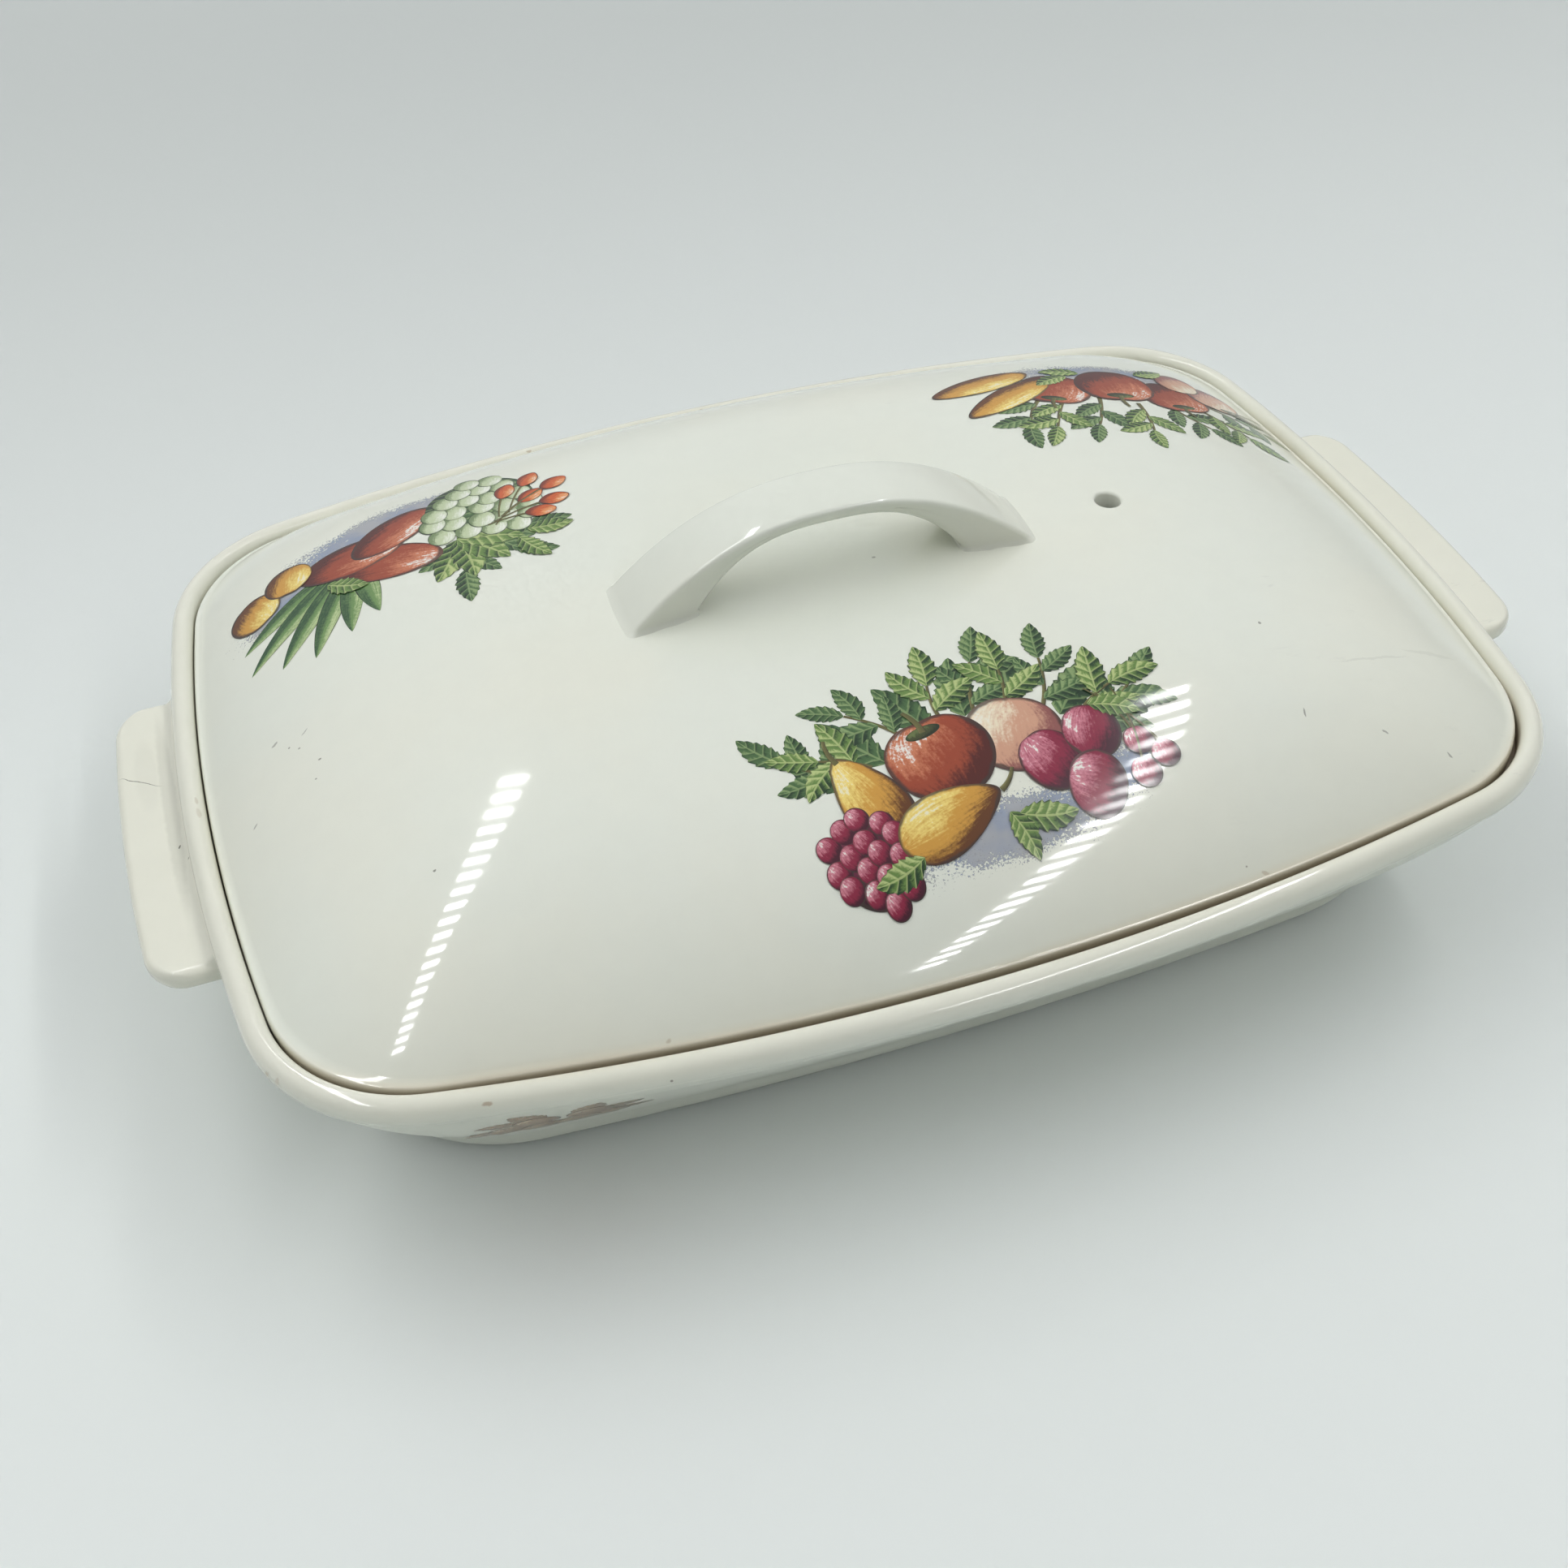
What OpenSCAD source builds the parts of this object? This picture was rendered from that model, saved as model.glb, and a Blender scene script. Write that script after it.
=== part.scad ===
// Covered oblong baking dish in glazed earthenware: a slip-cast dish with two end lugs,
// and a domed lid with a cast strap handle that drops onto a ledge inside the rim.
// Length runs along X, width along Y, height along Z. Z is 0 where the foot stands.

/* [Dish] */
// Length of the dish over its rim, without the lugs
dish_length = 310; // [270:1:350]
// Width of the dish over its rim, at the middle
dish_width = 230; // [200:1:260]
// Height of the rim above the table
dish_height = 58; // [50:1:75]
// How far each long side bows out, from the line of the corners to its middle
side_bow = 20.5; // [17:0.5:24]
// How far each short end bows out
end_bow = 13; // [10:0.5:17]
// Radius of the rim's corners in plan
corner_r = 40; // [36:1:50]
// Thickness of the dish's wall, measured level
wall_t = 5.4; // [4:0.1:7]
// Thickness of the dish's floor
floor_t = 5.5; // [4:0.1:8]

/* [Base] */
// How far the wall leans in on its way down, at each short end
end_lean = 16; // [8:0.5:22]
// How far the wall leans in on its way down, along each long side
side_lean = 31; // [20:0.5:36]
// Radius of the base's corners in plan
base_corner_r = 46; // [40:1:55]
// How far the base's long sides bow out
base_side_bow = 9; // [6:0.5:14]
// How far the base's short ends bow out
base_end_bow = 6; // [4:0.5:10]
// Radius of the heel, where the wall turns under to the foot
heel_r = 10; // [7:0.5:13]
// Radius of the cove between the wall and the floor inside
floor_cove_r = 13; // [9:0.5:16]
// Width of the foot ring that stands on the table
foot_w = 7; // [4:0.5:12]
// Depth of the hollow inside the foot ring
foot_hollow = 1.2; // [0.6:0.1:2]

/* [Rim] */
// Width of the rolled rim, from its outer edge to the face beside the lid
rim_w = 5.4; // [4.8:0.1:6.5]
// Height of the rolled rim, from its widest line to its crest
rim_roll_h = 3.6; // [2.5:0.1:4.5]
// How far the wall stands back under the rolled rim
rim_overhang = 2.4; // [1.5:0.1:3.2]
// Depth of the lid's seat below the rim's crest
seat_depth = 7.2; // [6:0.1:9]
// Width of the ledge that the lid sits on
seat_w = 5.6; // [5:0.1:7]

/* [Lugs] */
// How far each lug stands out past the rim
lug_reach = 14.5; // [10:0.5:22]
// Length of each lug along the end of the dish
lug_length = 92; // [70:1:104]
// Thickness of each lug
lug_t = 5; // [4.5:0.25:8]
// Depth of the lug's top below the rim's crest
lug_drop = 6.5; // [6.25:0.25:13]
// Radius of the lug's outer corners in plan
lug_corner_r = 10; // [7:0.5:14]
// Radius of the lug's softened edges
lug_edge_r = 2.1; // [1.5:0.1:2.2]
// Height of the cove where the lug's top runs up under the rim
lug_cove = 2.4; // [1.2:0.1:2.8]

/* [Lid] */
// Gap between the lid's edge and the rim at each short end
lid_end_gap = 0.8; // [0.5:0.1:1.5]
// Gap between the lid's edge and the rim at the middle of each long side
lid_side_gap = 1.6; // [1.4:0.1:2.4]
// How much flatter the lid's long sides are than the rim's
lid_side_ease = 3; // [2:0.25:3.5]
// How much flatter the lid's short ends are than the rim's
lid_end_ease = 1.5; // [1:0.25:2]
// Thickness of the lid at its crown
lid_t = 5.6; // [4.5:0.1:7]
// Thickness of the lid's edge
lid_edge_t = 4.6; // [4:0.1:5.4]
// Height of the dome above the lid's upper edge
dome_rise = 27.4; // [18:0.1:36]
// Fullness of the dome: 2 is a plain arch, more gives a flatter top with steeper shoulders
dome_fullness = 5; // [3:0.1:6]
// Width of the flat foot under the lid's edge
lid_foot_w = 4.2; // [3:0.1:5]

/* [Handle] */
// Length of the handle over its feet
handle_length = 104; // [90:1:130]
// Length of the finger gap under the handle, where it meets the lid
gap_length = 68; // [58:1:78]
// Height of the finger gap above the lid's crown
gap_height = 16.2; // [12:0.2:24]
// Thickness of the strap at its middle
strap_t = 5.4; // [4.5:0.1:8]
// Width of the strap at its middle
strap_w = 17.6; // [14:0.2:24]
// Extra width of the strap at its feet
foot_flare = 1.6; // [1:0.2:8]
// Radius of the strap's softened edges
strap_edge_r = 2.3; // [1:0.1:2.5]
// How far the handle's feet are sunk into the lid's wall
foot_sink = 1.8; // [1.2:0.1:2.4]

/* [Vent] */
// Diameter of the steam vent
vent_d = 6.2; // [5:0.1:9]
// Distance of the steam vent from the lid's middle, along its length
vent_x = 73.4; // [64:0.2:96]

/* [Hidden] */

GLAZE = [0.93, 0.92, 0.88];
LID_GLAZE = [0.89, 0.90, 0.86];

// Points along a quarter of an outline: on its short end, round its corner, on its long side
END_STEPS = 4;
CORNER_STEPS = 10;
SIDE_STEPS = 5;

// Where the rolled rim is highest, as a share of its width
CREST_SHARE = 0.6;
// How much rounder the lid's corners are than the rim's inner corners
LID_CORNER_EASE = 2;

half_l = dish_length / 2;
half_w = dish_width / 2;
rim_crest = rim_w * CREST_SHARE;
seat_z = dish_height - seat_depth;
lid_edge_z = seat_z + lid_edge_t;
crown_z = lid_edge_z + dome_rise;

// Radius of an arc that falls away by bow over half a chord
function bow_radius(half_chord, bow) = (half_chord * half_chord + bow * bow) / (2 * bow);
function mix(a, b, k) = a + (b - a) * k;

// A form is an oblong outline drawn with arcs that run into each other:
// [half length, half width, radius of the long sides, radius of the short ends, corner radius]
rim_form = [half_l, half_w, bow_radius(half_l, side_bow), bow_radius(half_w, end_bow), corner_r];
base_l = half_l - end_lean;
base_w = half_w - side_lean;
base_form = [base_l, base_w, bow_radius(base_l, base_side_bow),
             bow_radius(base_w, base_end_bow), base_corner_r];
lid_l = half_l - rim_w - lid_end_gap;
lid_w = half_w - rim_w - lid_side_gap;
lid_form = [lid_l, lid_w, bow_radius(lid_l, side_bow - lid_side_ease),
            bow_radius(lid_w, end_bow - lid_end_ease), corner_r - rim_w + LID_CORNER_EASE];

function inset(form, d) = [for (value = form) value - d];
function mix_forms(f, g, k) = [for (i = [0:len(f) - 1]) mix(f[i], g[i], k)];

// Centre of the corner arc that touches the long side's arc and the short end's arc from inside
function corner_centre(form) =
    let (side = [0, form[1] - form[2]], end = [form[0] - form[3], 0])
    let (reach_s = form[2] - form[4], reach_e = form[3] - form[4])
    let (span = norm(end - side), u = (end - side) / span)
    let (along = (reach_s * reach_s - reach_e * reach_e + span * span) / (2 * span))
    let (across = sqrt(reach_s * reach_s - along * along))
    side + along * u + across * [u[1], -u[0]];

function arc(centre, r, from, to, steps) =
    [for (i = [0:steps - 1]) let (a = mix(from, to, i / steps)) centre + r * [cos(a), sin(a)]];

function quarter(form) =
    let (c = corner_centre(form), side = [0, form[1] - form[2]], end = [form[0] - form[3], 0])
    let (a_end = atan2((c - end)[1], (c - end)[0]), a_side = atan2((c - side)[1], (c - side)[0]))
    concat(arc(end, form[3], 0, a_end, END_STEPS),
           arc(c, form[4], a_end, a_side, CORNER_STEPS),
           arc(side, form[2], a_side, 90, SIDE_STEPS));

// The whole outline, anticlockwise from the middle of the +X end
function outline(form) =
    let (q = quarter(form), top = [0, form[1]], last = len(q) - 1)
    concat(q, [top], [for (i = [last:-1:1]) [-q[i][0], q[i][1]]],
           [for (p = q) -p], [-top], [for (i = [last:-1:1]) [q[i][0], -q[i][1]]]);

function level(points, z) = [for (p = points) [p[0], p[1], z]];

// A closed solid skinned over rings of equal count, with a flat face or a pole at each end
module skin(rings, first_pole = undef, last_pole = undef) {
    n = len(rings[0]);
    m = len(rings);
    ring_points = [for (ring = rings) each ring];
    poles = concat(is_undef(first_pole) ? [] : [first_pole], is_undef(last_pole) ? [] : [last_pole]);
    first_i = m * n;
    last_i = m * n + (is_undef(first_pole) ? 0 : 1);
    sides = [for (i = [0:m - 2], j = [0:n - 1])
                 let (a = i * n + j, b = i * n + (j + 1) % n, c = a + n, d = b + n)
                     each [[a, c, b], [b, c, d]]];
    first_face = is_undef(first_pole) ? [[for (j = [0:n - 1]) j]]
                                      : [for (j = [0:n - 1]) [first_i, j, (j + 1) % n]];
    last_row = (m - 1) * n;
    last_face = is_undef(last_pole) ? [[for (j = [n - 1:-1:0]) last_row + j]]
                                    : [for (j = [0:n - 1]) [last_i, last_row + (j + 1) % n, last_row + j]];
    polyhedron(concat(ring_points, poles), concat(sides, first_face, last_face), convexity = 8);
}

// Outer wall: its outline at any height between the heel and the rolled rim
ROLL_UNDERCUT = 1.3;
wall_top_z = dish_height - rim_roll_h * 2 - ROLL_UNDERCUT;
wall_top_form = inset(rim_form, rim_overhang);
function wall_form(z) = mix_forms(wall_top_form, base_form,
                                  max(0, min(1, (wall_top_z - z) / (wall_top_z - heel_r))));

HEEL_STEPS = 5;
WALL_STEPS = 3;
ROLL_STEPS = 4;
COVE_STEPS = 5;
// The roll's underside starts this many degrees below its widest line, and is drawn in these steps
ROLL_UNDER_TURN = 58;
ROLL_UNDER_STEPS = 2;
// How far the roll has fallen where it meets the face beside the lid, as a share of its height
ROLL_FALL_SHARE = 0.75;
foot_form = inset(base_form, heel_r);

function foot_rings() = [
    level(outline(inset(foot_form, foot_w + foot_hollow)), foot_hollow),
    level(outline(inset(foot_form, foot_w)), 0)];

function heel_rings() = [for (i = [HEEL_STEPS:-1:1]) let (a = 90 * i / HEEL_STEPS)
    level(outline(inset(base_form, heel_r * (1 - cos(a)))), heel_r * (1 - sin(a)))];

function outer_wall_rings() = [for (i = [0:WALL_STEPS]) let (z = mix(heel_r, wall_top_z, i / WALL_STEPS))
    level(outline(wall_form(z)), z)];

// The rolled rim: under its overhang, over its crest, and down to the lid's seat
function roll_rings() =
    let (widest_z = dish_height - rim_roll_h)
    concat(
        [for (i = [0:ROLL_UNDER_STEPS]) let (a = ROLL_UNDER_TURN * (1 - i / ROLL_UNDER_STEPS))
             level(outline(inset(rim_form, rim_crest * (1 - cos(a)))), widest_z - rim_roll_h * sin(a))],
        [for (i = [1:ROLL_STEPS]) let (a = 90 * i / ROLL_STEPS)
             level(outline(inset(rim_form, rim_crest * (1 - cos(a)))), widest_z + rim_roll_h * sin(a))],
        [for (i = [1:ROLL_STEPS])
             let (a = 90 * i / ROLL_STEPS, fall = rim_roll_h * ROLL_FALL_SHARE * (1 - cos(a)))
                 level(outline(inset(rim_form, mix(rim_crest, rim_w, sin(a)))), dish_height - fall)],
        [level(outline(inset(rim_form, rim_w)), seat_z)]);

SEAT_ROUND = 0.8;
function seat_rings() = [
    level(outline(inset(rim_form, rim_w + seat_w - SEAT_ROUND)), seat_z),
    level(outline(inset(rim_form, rim_w + seat_w)), seat_z - SEAT_ROUND)];

// Inner wall: it keeps the wall's thickness below the ledge, and coves into the floor
LEDGE_FADE = 11;
function inner_wall_rings() =
    let (top_z = seat_z - LEDGE_FADE, low_z = floor_t + floor_cove_r)
    [for (i = [0:WALL_STEPS - 1]) let (z = mix(top_z, low_z, i / WALL_STEPS))
         level(outline(inset(wall_form(z), wall_t)), z)];

function floor_cove_rings() = [for (i = [0:COVE_STEPS]) let (a = 90 * i / COVE_STEPS)
    let (z = floor_t + floor_cove_r * (1 - sin(a)))
    level(outline(inset(wall_form(z), wall_t + floor_cove_r * (1 - cos(a)))), z)];

module dish_shell() {
    skin(concat(foot_rings(), heel_rings(), outer_wall_rings(), roll_rings(), seat_rings(),
                inner_wall_rings(), floor_cove_rings()));
}

// End lug: cross-sections side by side across the end of the dish, each running from the wall
// out over the lug's top, round its edge and back beneath it
LUG_SIDE_STEPS = 6;
LUG_CORNER_STEPS = 6;
LUG_ROUND_STEPS = 3;
// How deep the lug is rooted in the wall, as a share of the thinnest clay there
LUG_SINK_SHARE = 0.6;
lug_sink = min(wall_t, rim_w - rim_overhang) * LUG_SINK_SHARE;
lug_top_z = dish_height - lug_drop;
lug_half = lug_length / 2;
lug_hub = half_l - rim_form[3];

// How near a cross-section at y is to the lug's end, from 0 at its flat top to 1 at its side
function lug_end_share(y) = max(0, 1 - (lug_half - abs(y)) / lug_edge_r);
function lug_fall(y) = lug_edge_r * (1 - sqrt(1 - pow(lug_end_share(y), 2)));

// Where the lug's root lies in the wall at a height z and a distance y across it
function root_x(z, y) = let (f = inset(wall_form(z), lug_sink)) f[0] - f[3] + sqrt(f[3] * f[3] - y * y);

// The outer edge keeps its round in plan, and its height dies away where the lug's side rounds over
function lug_section(y, out_x) =
    let (top = lug_top_z - lug_fall(y), low = lug_top_z - lug_t + lug_fall(y), r = lug_edge_r)
    let (reach = lug_hub + out_x - r, rise = r - lug_fall(y))
    [for (p = concat(
        [[root_x(low, y), low], [root_x(top, y), top]],
        [for (i = [0:LUG_ROUND_STEPS]) let (a = 90 - 90 * i / LUG_ROUND_STEPS)
             [reach + r * cos(a), top - rise + rise * sin(a)]],
        [for (i = [0:LUG_ROUND_STEPS]) let (a = -90 * i / LUG_ROUND_STEPS)
             [reach + r * cos(a), low + rise + rise * sin(a)]]))
     [p[0], y, p[1]]];

module lug_body() {
    out_r = rim_form[3] + lug_reach;
    corner_y = lug_half - lug_corner_r;
    corner_x = sqrt(pow(out_r - lug_corner_r, 2) - corner_y * corner_y);
    turn = asin(corner_y / (out_r - lug_corner_r));
    // Where the outer edge runs, as [across, out]: bowed like the dish's end, with round corners
    edge = concat([for (i = [0:LUG_SIDE_STEPS - 1]) let (a = turn * i / LUG_SIDE_STEPS)
                       out_r * [sin(a), cos(a)]],
                  [for (i = [0:LUG_CORNER_STEPS]) let (a = mix(turn, 90, i / LUG_CORNER_STEPS))
                       [corner_y, corner_x] + lug_corner_r * [sin(a), cos(a)]]);
    last = len(edge) - 1;
    stations = concat([for (i = [last:-1:1]) [-edge[i][0], edge[i][1]]], edge);
    skin([for (s = stations) lug_section(s[0], s[1])]);
}

// The cove that runs the lug's top up under the rim: hollow-faced wedges laid side by side,
// which die away where the lug's ends round over
LUG_COVE_RUN = 2.2;
LUG_COVE_STEPS = 3;
LUG_COVE_SLICES = 6;
LUG_COVE_FADE = [0.9, 0.5];
COVE_BED = 1;
COVE_SLAB_T = 0.02;

// A point on the cove's face, as [out from the wall, up from the lug's top], for a share of its turn
function cove_point(size, share) =
    lug_cove * size * [LUG_COVE_RUN * (1 - cos(90 * share)), 1 - sin(90 * share)];

module cove_slab(y, step) {
    size = 1 - lug_end_share(y);
    top = lug_top_z - lug_fall(y);
    face_x = lug_hub + sqrt(pow(rim_form[3] - rim_overhang, 2) - y * y);
    from = cove_point(size, step / LUG_COVE_STEPS);
    to = cove_point(size, (step + 1) / LUG_COVE_STEPS);
    root = step > 0 ? [[from[0], -COVE_BED]]
                    : [for (up = [from[1], -COVE_BED]) [root_x(top + up, y) - face_x, up]];
    translate([face_x, y, top])
        rotate([90, 0, 0])
            linear_extrude(height = COVE_SLAB_T, center = true)
                polygon(concat(root, [[to[0], -COVE_BED], to, from]));
}

module lug_cove_fill() {
    flat = lug_half - lug_edge_r;
    fade = [for (share = LUG_COVE_FADE) flat + lug_edge_r * share];
    stations = concat([for (y = fade) -y],
                      [for (i = [0:LUG_COVE_SLICES]) mix(-flat, flat, i / LUG_COVE_SLICES)],
                      [for (i = [len(fade) - 1:-1:0]) fade[i]]);
    for (i = [0:len(stations) - 2], step = [0:LUG_COVE_STEPS - 1])
        hull() {
            cove_slab(stations[i], step);
            cove_slab(stations[i + 1], step);
        }
}

module lug() {
    lug_body();
    lug_cove_fill();
}

module dish() {
    color(GLAZE)
    union() {
        dish_shell();
        lug();
        rotate(180) lug();
    }
}

// Height of the dome over a point a share k of the way from the lid's middle to its edge
function dome_z(k) = lid_edge_z + dome_rise * (1 - pow(k, dome_fullness));

// The lid's outline drawn in to a share k, turning from the oblong to an ellipse on the way
function dome_ring(k, form) =
    let (round_share = 1 - k)
    [for (p = outline(form))
         let (angle = atan2(p[1] / form[1], p[0] / form[0]))
         let (ellipse = [form[0] * cos(angle), form[1] * sin(angle)])
         k * mix(p, ellipse, round_share)];

DOME_STEPS = 12;
// The rings crowd towards the dome's shoulder: they follow a sine up to this many degrees
DOME_TURN = 82;
DOME_SHARES = [for (i = [1:DOME_STEPS]) sin(DOME_TURN * i / DOME_STEPS)];
EDGE_ROUND = 0.9;
EDGE_STEPS = 3;

// The dome's hollow follows its top a thickness below, and meets the foot on a short slope
HOLLOW_SLOPE = 0.8;
function hollow_rings() =
    let (hollow_form = inset(lid_form, lid_foot_w + HOLLOW_SLOPE))
    [for (k = DOME_SHARES)
         level(dome_ring(k, hollow_form), dome_z(k * hollow_form[1] / lid_form[1]) - lid_t)];

// The flat foot that rests on the ledge, then up and round over the lid's edge
function edge_rings() =
    let (start = (lid_w - EDGE_ROUND) / lid_w)
    let (top_z = dome_z(start), face_z = lid_edge_z - EDGE_ROUND)
    concat(
        [level(outline(inset(lid_form, lid_foot_w)), seat_z),
         level(outline(inset(lid_form, EDGE_ROUND)), seat_z),
         level(outline(lid_form), seat_z + EDGE_ROUND)],
        [for (i = [EDGE_STEPS:-1:0]) let (a = 90 * i / EDGE_STEPS)
             level(outline(inset(lid_form, EDGE_ROUND * (1 - sin(a)))), mix(face_z, top_z, cos(a)))]);

function dome_rings() = [for (i = [DOME_STEPS - 1:-1:0])
    level(dome_ring(DOME_SHARES[i], lid_form), dome_z(DOME_SHARES[i]))];

module lid_shell() {
    skin(concat(hollow_rings(), edge_rings(), dome_rings()), [0, 0, crown_z - lid_t], [0, 0, crown_z]);
}

// The handle: an arched strap whose upper and under lines spread apart into its two feet
HANDLE_STEPS = 9;
UPPER_FULLNESS = 2.3;
UNDER_FULLNESS = 2.9;
// How late along the strap its feet spread lengthways, and how late they flare sideways
SPREAD_POWER = 4;
FLARE_POWER = 3;
SECTION_ROUND_STEPS = 3;
// The softened edges take at most this share of the strap's thickness
EDGE_LIMIT = 0.45;
gap_top_z = crown_z + gap_height;
upper_rise = gap_top_z + strap_t;

function lid_z_at(x) = dome_z(x / lid_l);

// Points on the strap's upper and under lines for a share s of the way from its middle to a foot
function under_point(s) =
    let (half = gap_length / 2, base = lid_z_at(half) - foot_sink)
    [half * s, base + (gap_top_z - base) * (1 - pow(s, UNDER_FULLNESS))];

function upper_point(s) =
    let (half = handle_length / 2, base = lid_z_at(half) - foot_sink)
    let (x = gap_length / 2 * s + (half - gap_length / 2) * pow(s, SPREAD_POWER))
    [x, base + (upper_rise - base) * (1 - pow(x / half, UPPER_FULLNESS))];

function strap_section(s) =
    let (share = abs(s), side = s < 0 ? -1 : 1)
    let (low = under_point(share), high = upper_point(share))
    let (depth = norm(high - low), up = (high - low) / depth)
    let (half = strap_w / 2 + foot_flare / 2 * pow(share, FLARE_POWER))
    let (r = min(strap_edge_r, depth * EDGE_LIMIT))
    [for (q = [[1, 1], [-1, 1], [-1, -1], [1, -1]], i = [0:SECTION_ROUND_STEPS])
         let (turn = 90 * (i / SECTION_ROUND_STEPS), flip = q[0] * q[1] > 0)
         let (a = flip ? turn : 90 - turn)
         let (y = q[0] * (half - r + r * cos(a)), d = depth / 2 + q[1] * (depth / 2 - r + r * sin(a)))
         let (p = low + d * up)
         [side * p[0], y, p[1]]];

module handle() {
    shares = [for (i = [-HANDLE_STEPS:HANDLE_STEPS]) (i < 0 ? -1 : 1) * sin(90 * abs(i) / HANDLE_STEPS)];
    skin([for (s = shares) strap_section(s)]);
}

module vent() {
    translate([vent_x, 0, seat_z])
        cylinder(d = vent_d, h = dome_rise + seat_depth + lid_edge_t, $fn = 48);
}

module lid() {
    color(LID_GLAZE)
    difference() {
        union() {
            lid_shell();
            handle();
        }
        vent();
    }
}

dish();
lid();
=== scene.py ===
"""Looks of a covered oblong baking dish in glazed earthenware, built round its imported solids.

Lengths are in metres. X runs along the dish, Y across it, and Z up from the table.
The dish, its lugs, the lid and its handle are skinned from outlines, as the solids are, with more
rings. The painted fruit lies on the glaze as thin shapes that follow the surface under them.
"""

import random
from collections import namedtuple
from functools import partial
from math import asin, atan2, copysign, cos, degrees, exp, hypot, pi, radians, sin, sqrt

import bmesh
import bpy
from mathutils import Matrix, Quaternion, Vector


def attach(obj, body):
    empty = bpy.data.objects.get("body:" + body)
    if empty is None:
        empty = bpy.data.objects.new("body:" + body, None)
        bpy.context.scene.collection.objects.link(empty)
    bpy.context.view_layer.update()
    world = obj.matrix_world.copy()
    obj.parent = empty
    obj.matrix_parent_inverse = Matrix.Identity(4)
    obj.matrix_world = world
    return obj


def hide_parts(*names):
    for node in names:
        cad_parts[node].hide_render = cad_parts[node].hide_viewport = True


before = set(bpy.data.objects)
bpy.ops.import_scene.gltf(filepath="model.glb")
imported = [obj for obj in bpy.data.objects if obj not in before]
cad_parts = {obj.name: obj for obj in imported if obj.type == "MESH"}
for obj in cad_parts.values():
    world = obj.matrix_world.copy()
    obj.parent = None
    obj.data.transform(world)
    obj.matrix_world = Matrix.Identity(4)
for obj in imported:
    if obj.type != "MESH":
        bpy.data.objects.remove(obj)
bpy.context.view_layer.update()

# Sizes of the dish
dish_length = 0.310
dish_width = 0.230
dish_height = 0.058
side_bow = 0.0205
end_bow = 0.013
corner_r = 0.040
wall_t = 0.0054
floor_t = 0.0055
end_lean = 0.016
side_lean = 0.031
base_corner_r = 0.046
base_side_bow = 0.009
base_end_bow = 0.006
heel_r = 0.010
floor_cove_r = 0.013
foot_w = 0.007
foot_hollow = 0.0012

# Sizes of the rolled rim and of the ledge inside it
rim_w = 0.0054
rim_roll_h = 0.0036
rim_overhang = 0.0024
roll_undercut = 0.0013
rim_crest = rim_w * 0.6
seat_depth = 0.0072
seat_w = 0.0056
seat_round = 0.0008
ledge_fade = 0.011

# Sizes of the lugs
lug_reach = 0.0145
lug_length = 0.092
lug_t = 0.005
lug_drop = 0.0065
lug_corner_r = 0.010
lug_edge_r = 0.0021
lug_cove = 0.0034
lug_cove_run = 1.35
lug_cove_depth = 0.0001
lug_sink = 0.0018

# Sizes of the lid
lid_end_gap = 0.0003
lid_side_gap = 0.0016
lid_side_ease = 0.003
lid_end_ease = 0.0015
lid_corner_ease = 0.002
lid_t = 0.0056
lid_edge_t = 0.0046
lid_foot_w = 0.0042
lid_edge_round = 0.0009
hollow_slope = 0.0008
dome_rise = 0.0274
dome_fullness = 5

# Sizes of the handle and the steam vent
handle_length = 0.104
gap_length = 0.068
gap_height = 0.0162
strap_t = 0.0054
strap_w = 0.0176
foot_flare = 0.0016
strap_edge_r = 0.0023
strap_top_r = 0.0013
strap_tuck = 0.002
strap_crown = 0.0005
foot_sink = 0.0018
foot_fillet = 0.0011
vent_d = 0.0062
vent_x = 0.0734
vent_edge_r = 0.0008

half_l = dish_length / 2
half_w = dish_width / 2
seat_z = dish_height - seat_depth
lid_edge_z = seat_z + lid_edge_t
crown_z = lid_edge_z + dome_rise

# A form is an oblong outline drawn with arcs that run into each other
Form = namedtuple("Form", "half_l half_w side_r end_r corner_r")
# A ring is one outline of a skinned piece, and how its glaze is coloured there: 1 is the clay's colour,
# where the glaze has run off and as painted shade at the lid's seam; 0 is even glaze; -1 is a painted cool
# shade on the lower wall.
Ring = namedtuple("Ring", "points bare")


def mix(first, second, share):
    return first + (second - first) * share


def steps(count, first=0):
    """Shares of the way from 0 to 1, in this many equal steps."""
    return [i / count for i in range(first, count + 1)]


def quarter(count, first=0):
    """Steps of a quarter turn: each one's share of the turn, its sine and its cosine."""
    turns = [(share, radians(90) * share) for share in steps(count, first)]
    return [(share, sin(turn), cos(turn)) for share, turn in turns]


def bow_radius(half_chord, bow):
    return (half_chord**2 + bow**2) / (2 * bow)


rim_form = Form(half_l, half_w, bow_radius(half_l, side_bow), bow_radius(half_w, end_bow), corner_r)
base_l = half_l - end_lean
base_w = half_w - side_lean
base_form = Form(
    base_l, base_w, bow_radius(base_l, base_side_bow), bow_radius(base_w, base_end_bow), base_corner_r
)
lid_l = half_l - rim_w - lid_end_gap
lid_w = half_w - rim_w - lid_side_gap
lid_form = Form(
    lid_l,
    lid_w,
    bow_radius(lid_l, side_bow - lid_side_ease),
    bow_radius(lid_w, end_bow - lid_end_ease),
    corner_r - rim_w + lid_corner_ease,
)

END_STEPS = 14
CORNER_STEPS = 28
SIDE_STEPS = 22


def inset(form, depth):
    return Form(*(value - depth for value in form))


def arc(centre, radius, start, end, count):
    """Points along an arc, without its last one."""
    turns = [mix(start, end, i / count) for i in range(count)]
    return [centre + radius * Vector((cos(a), sin(a))) for a in turns]


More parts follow.
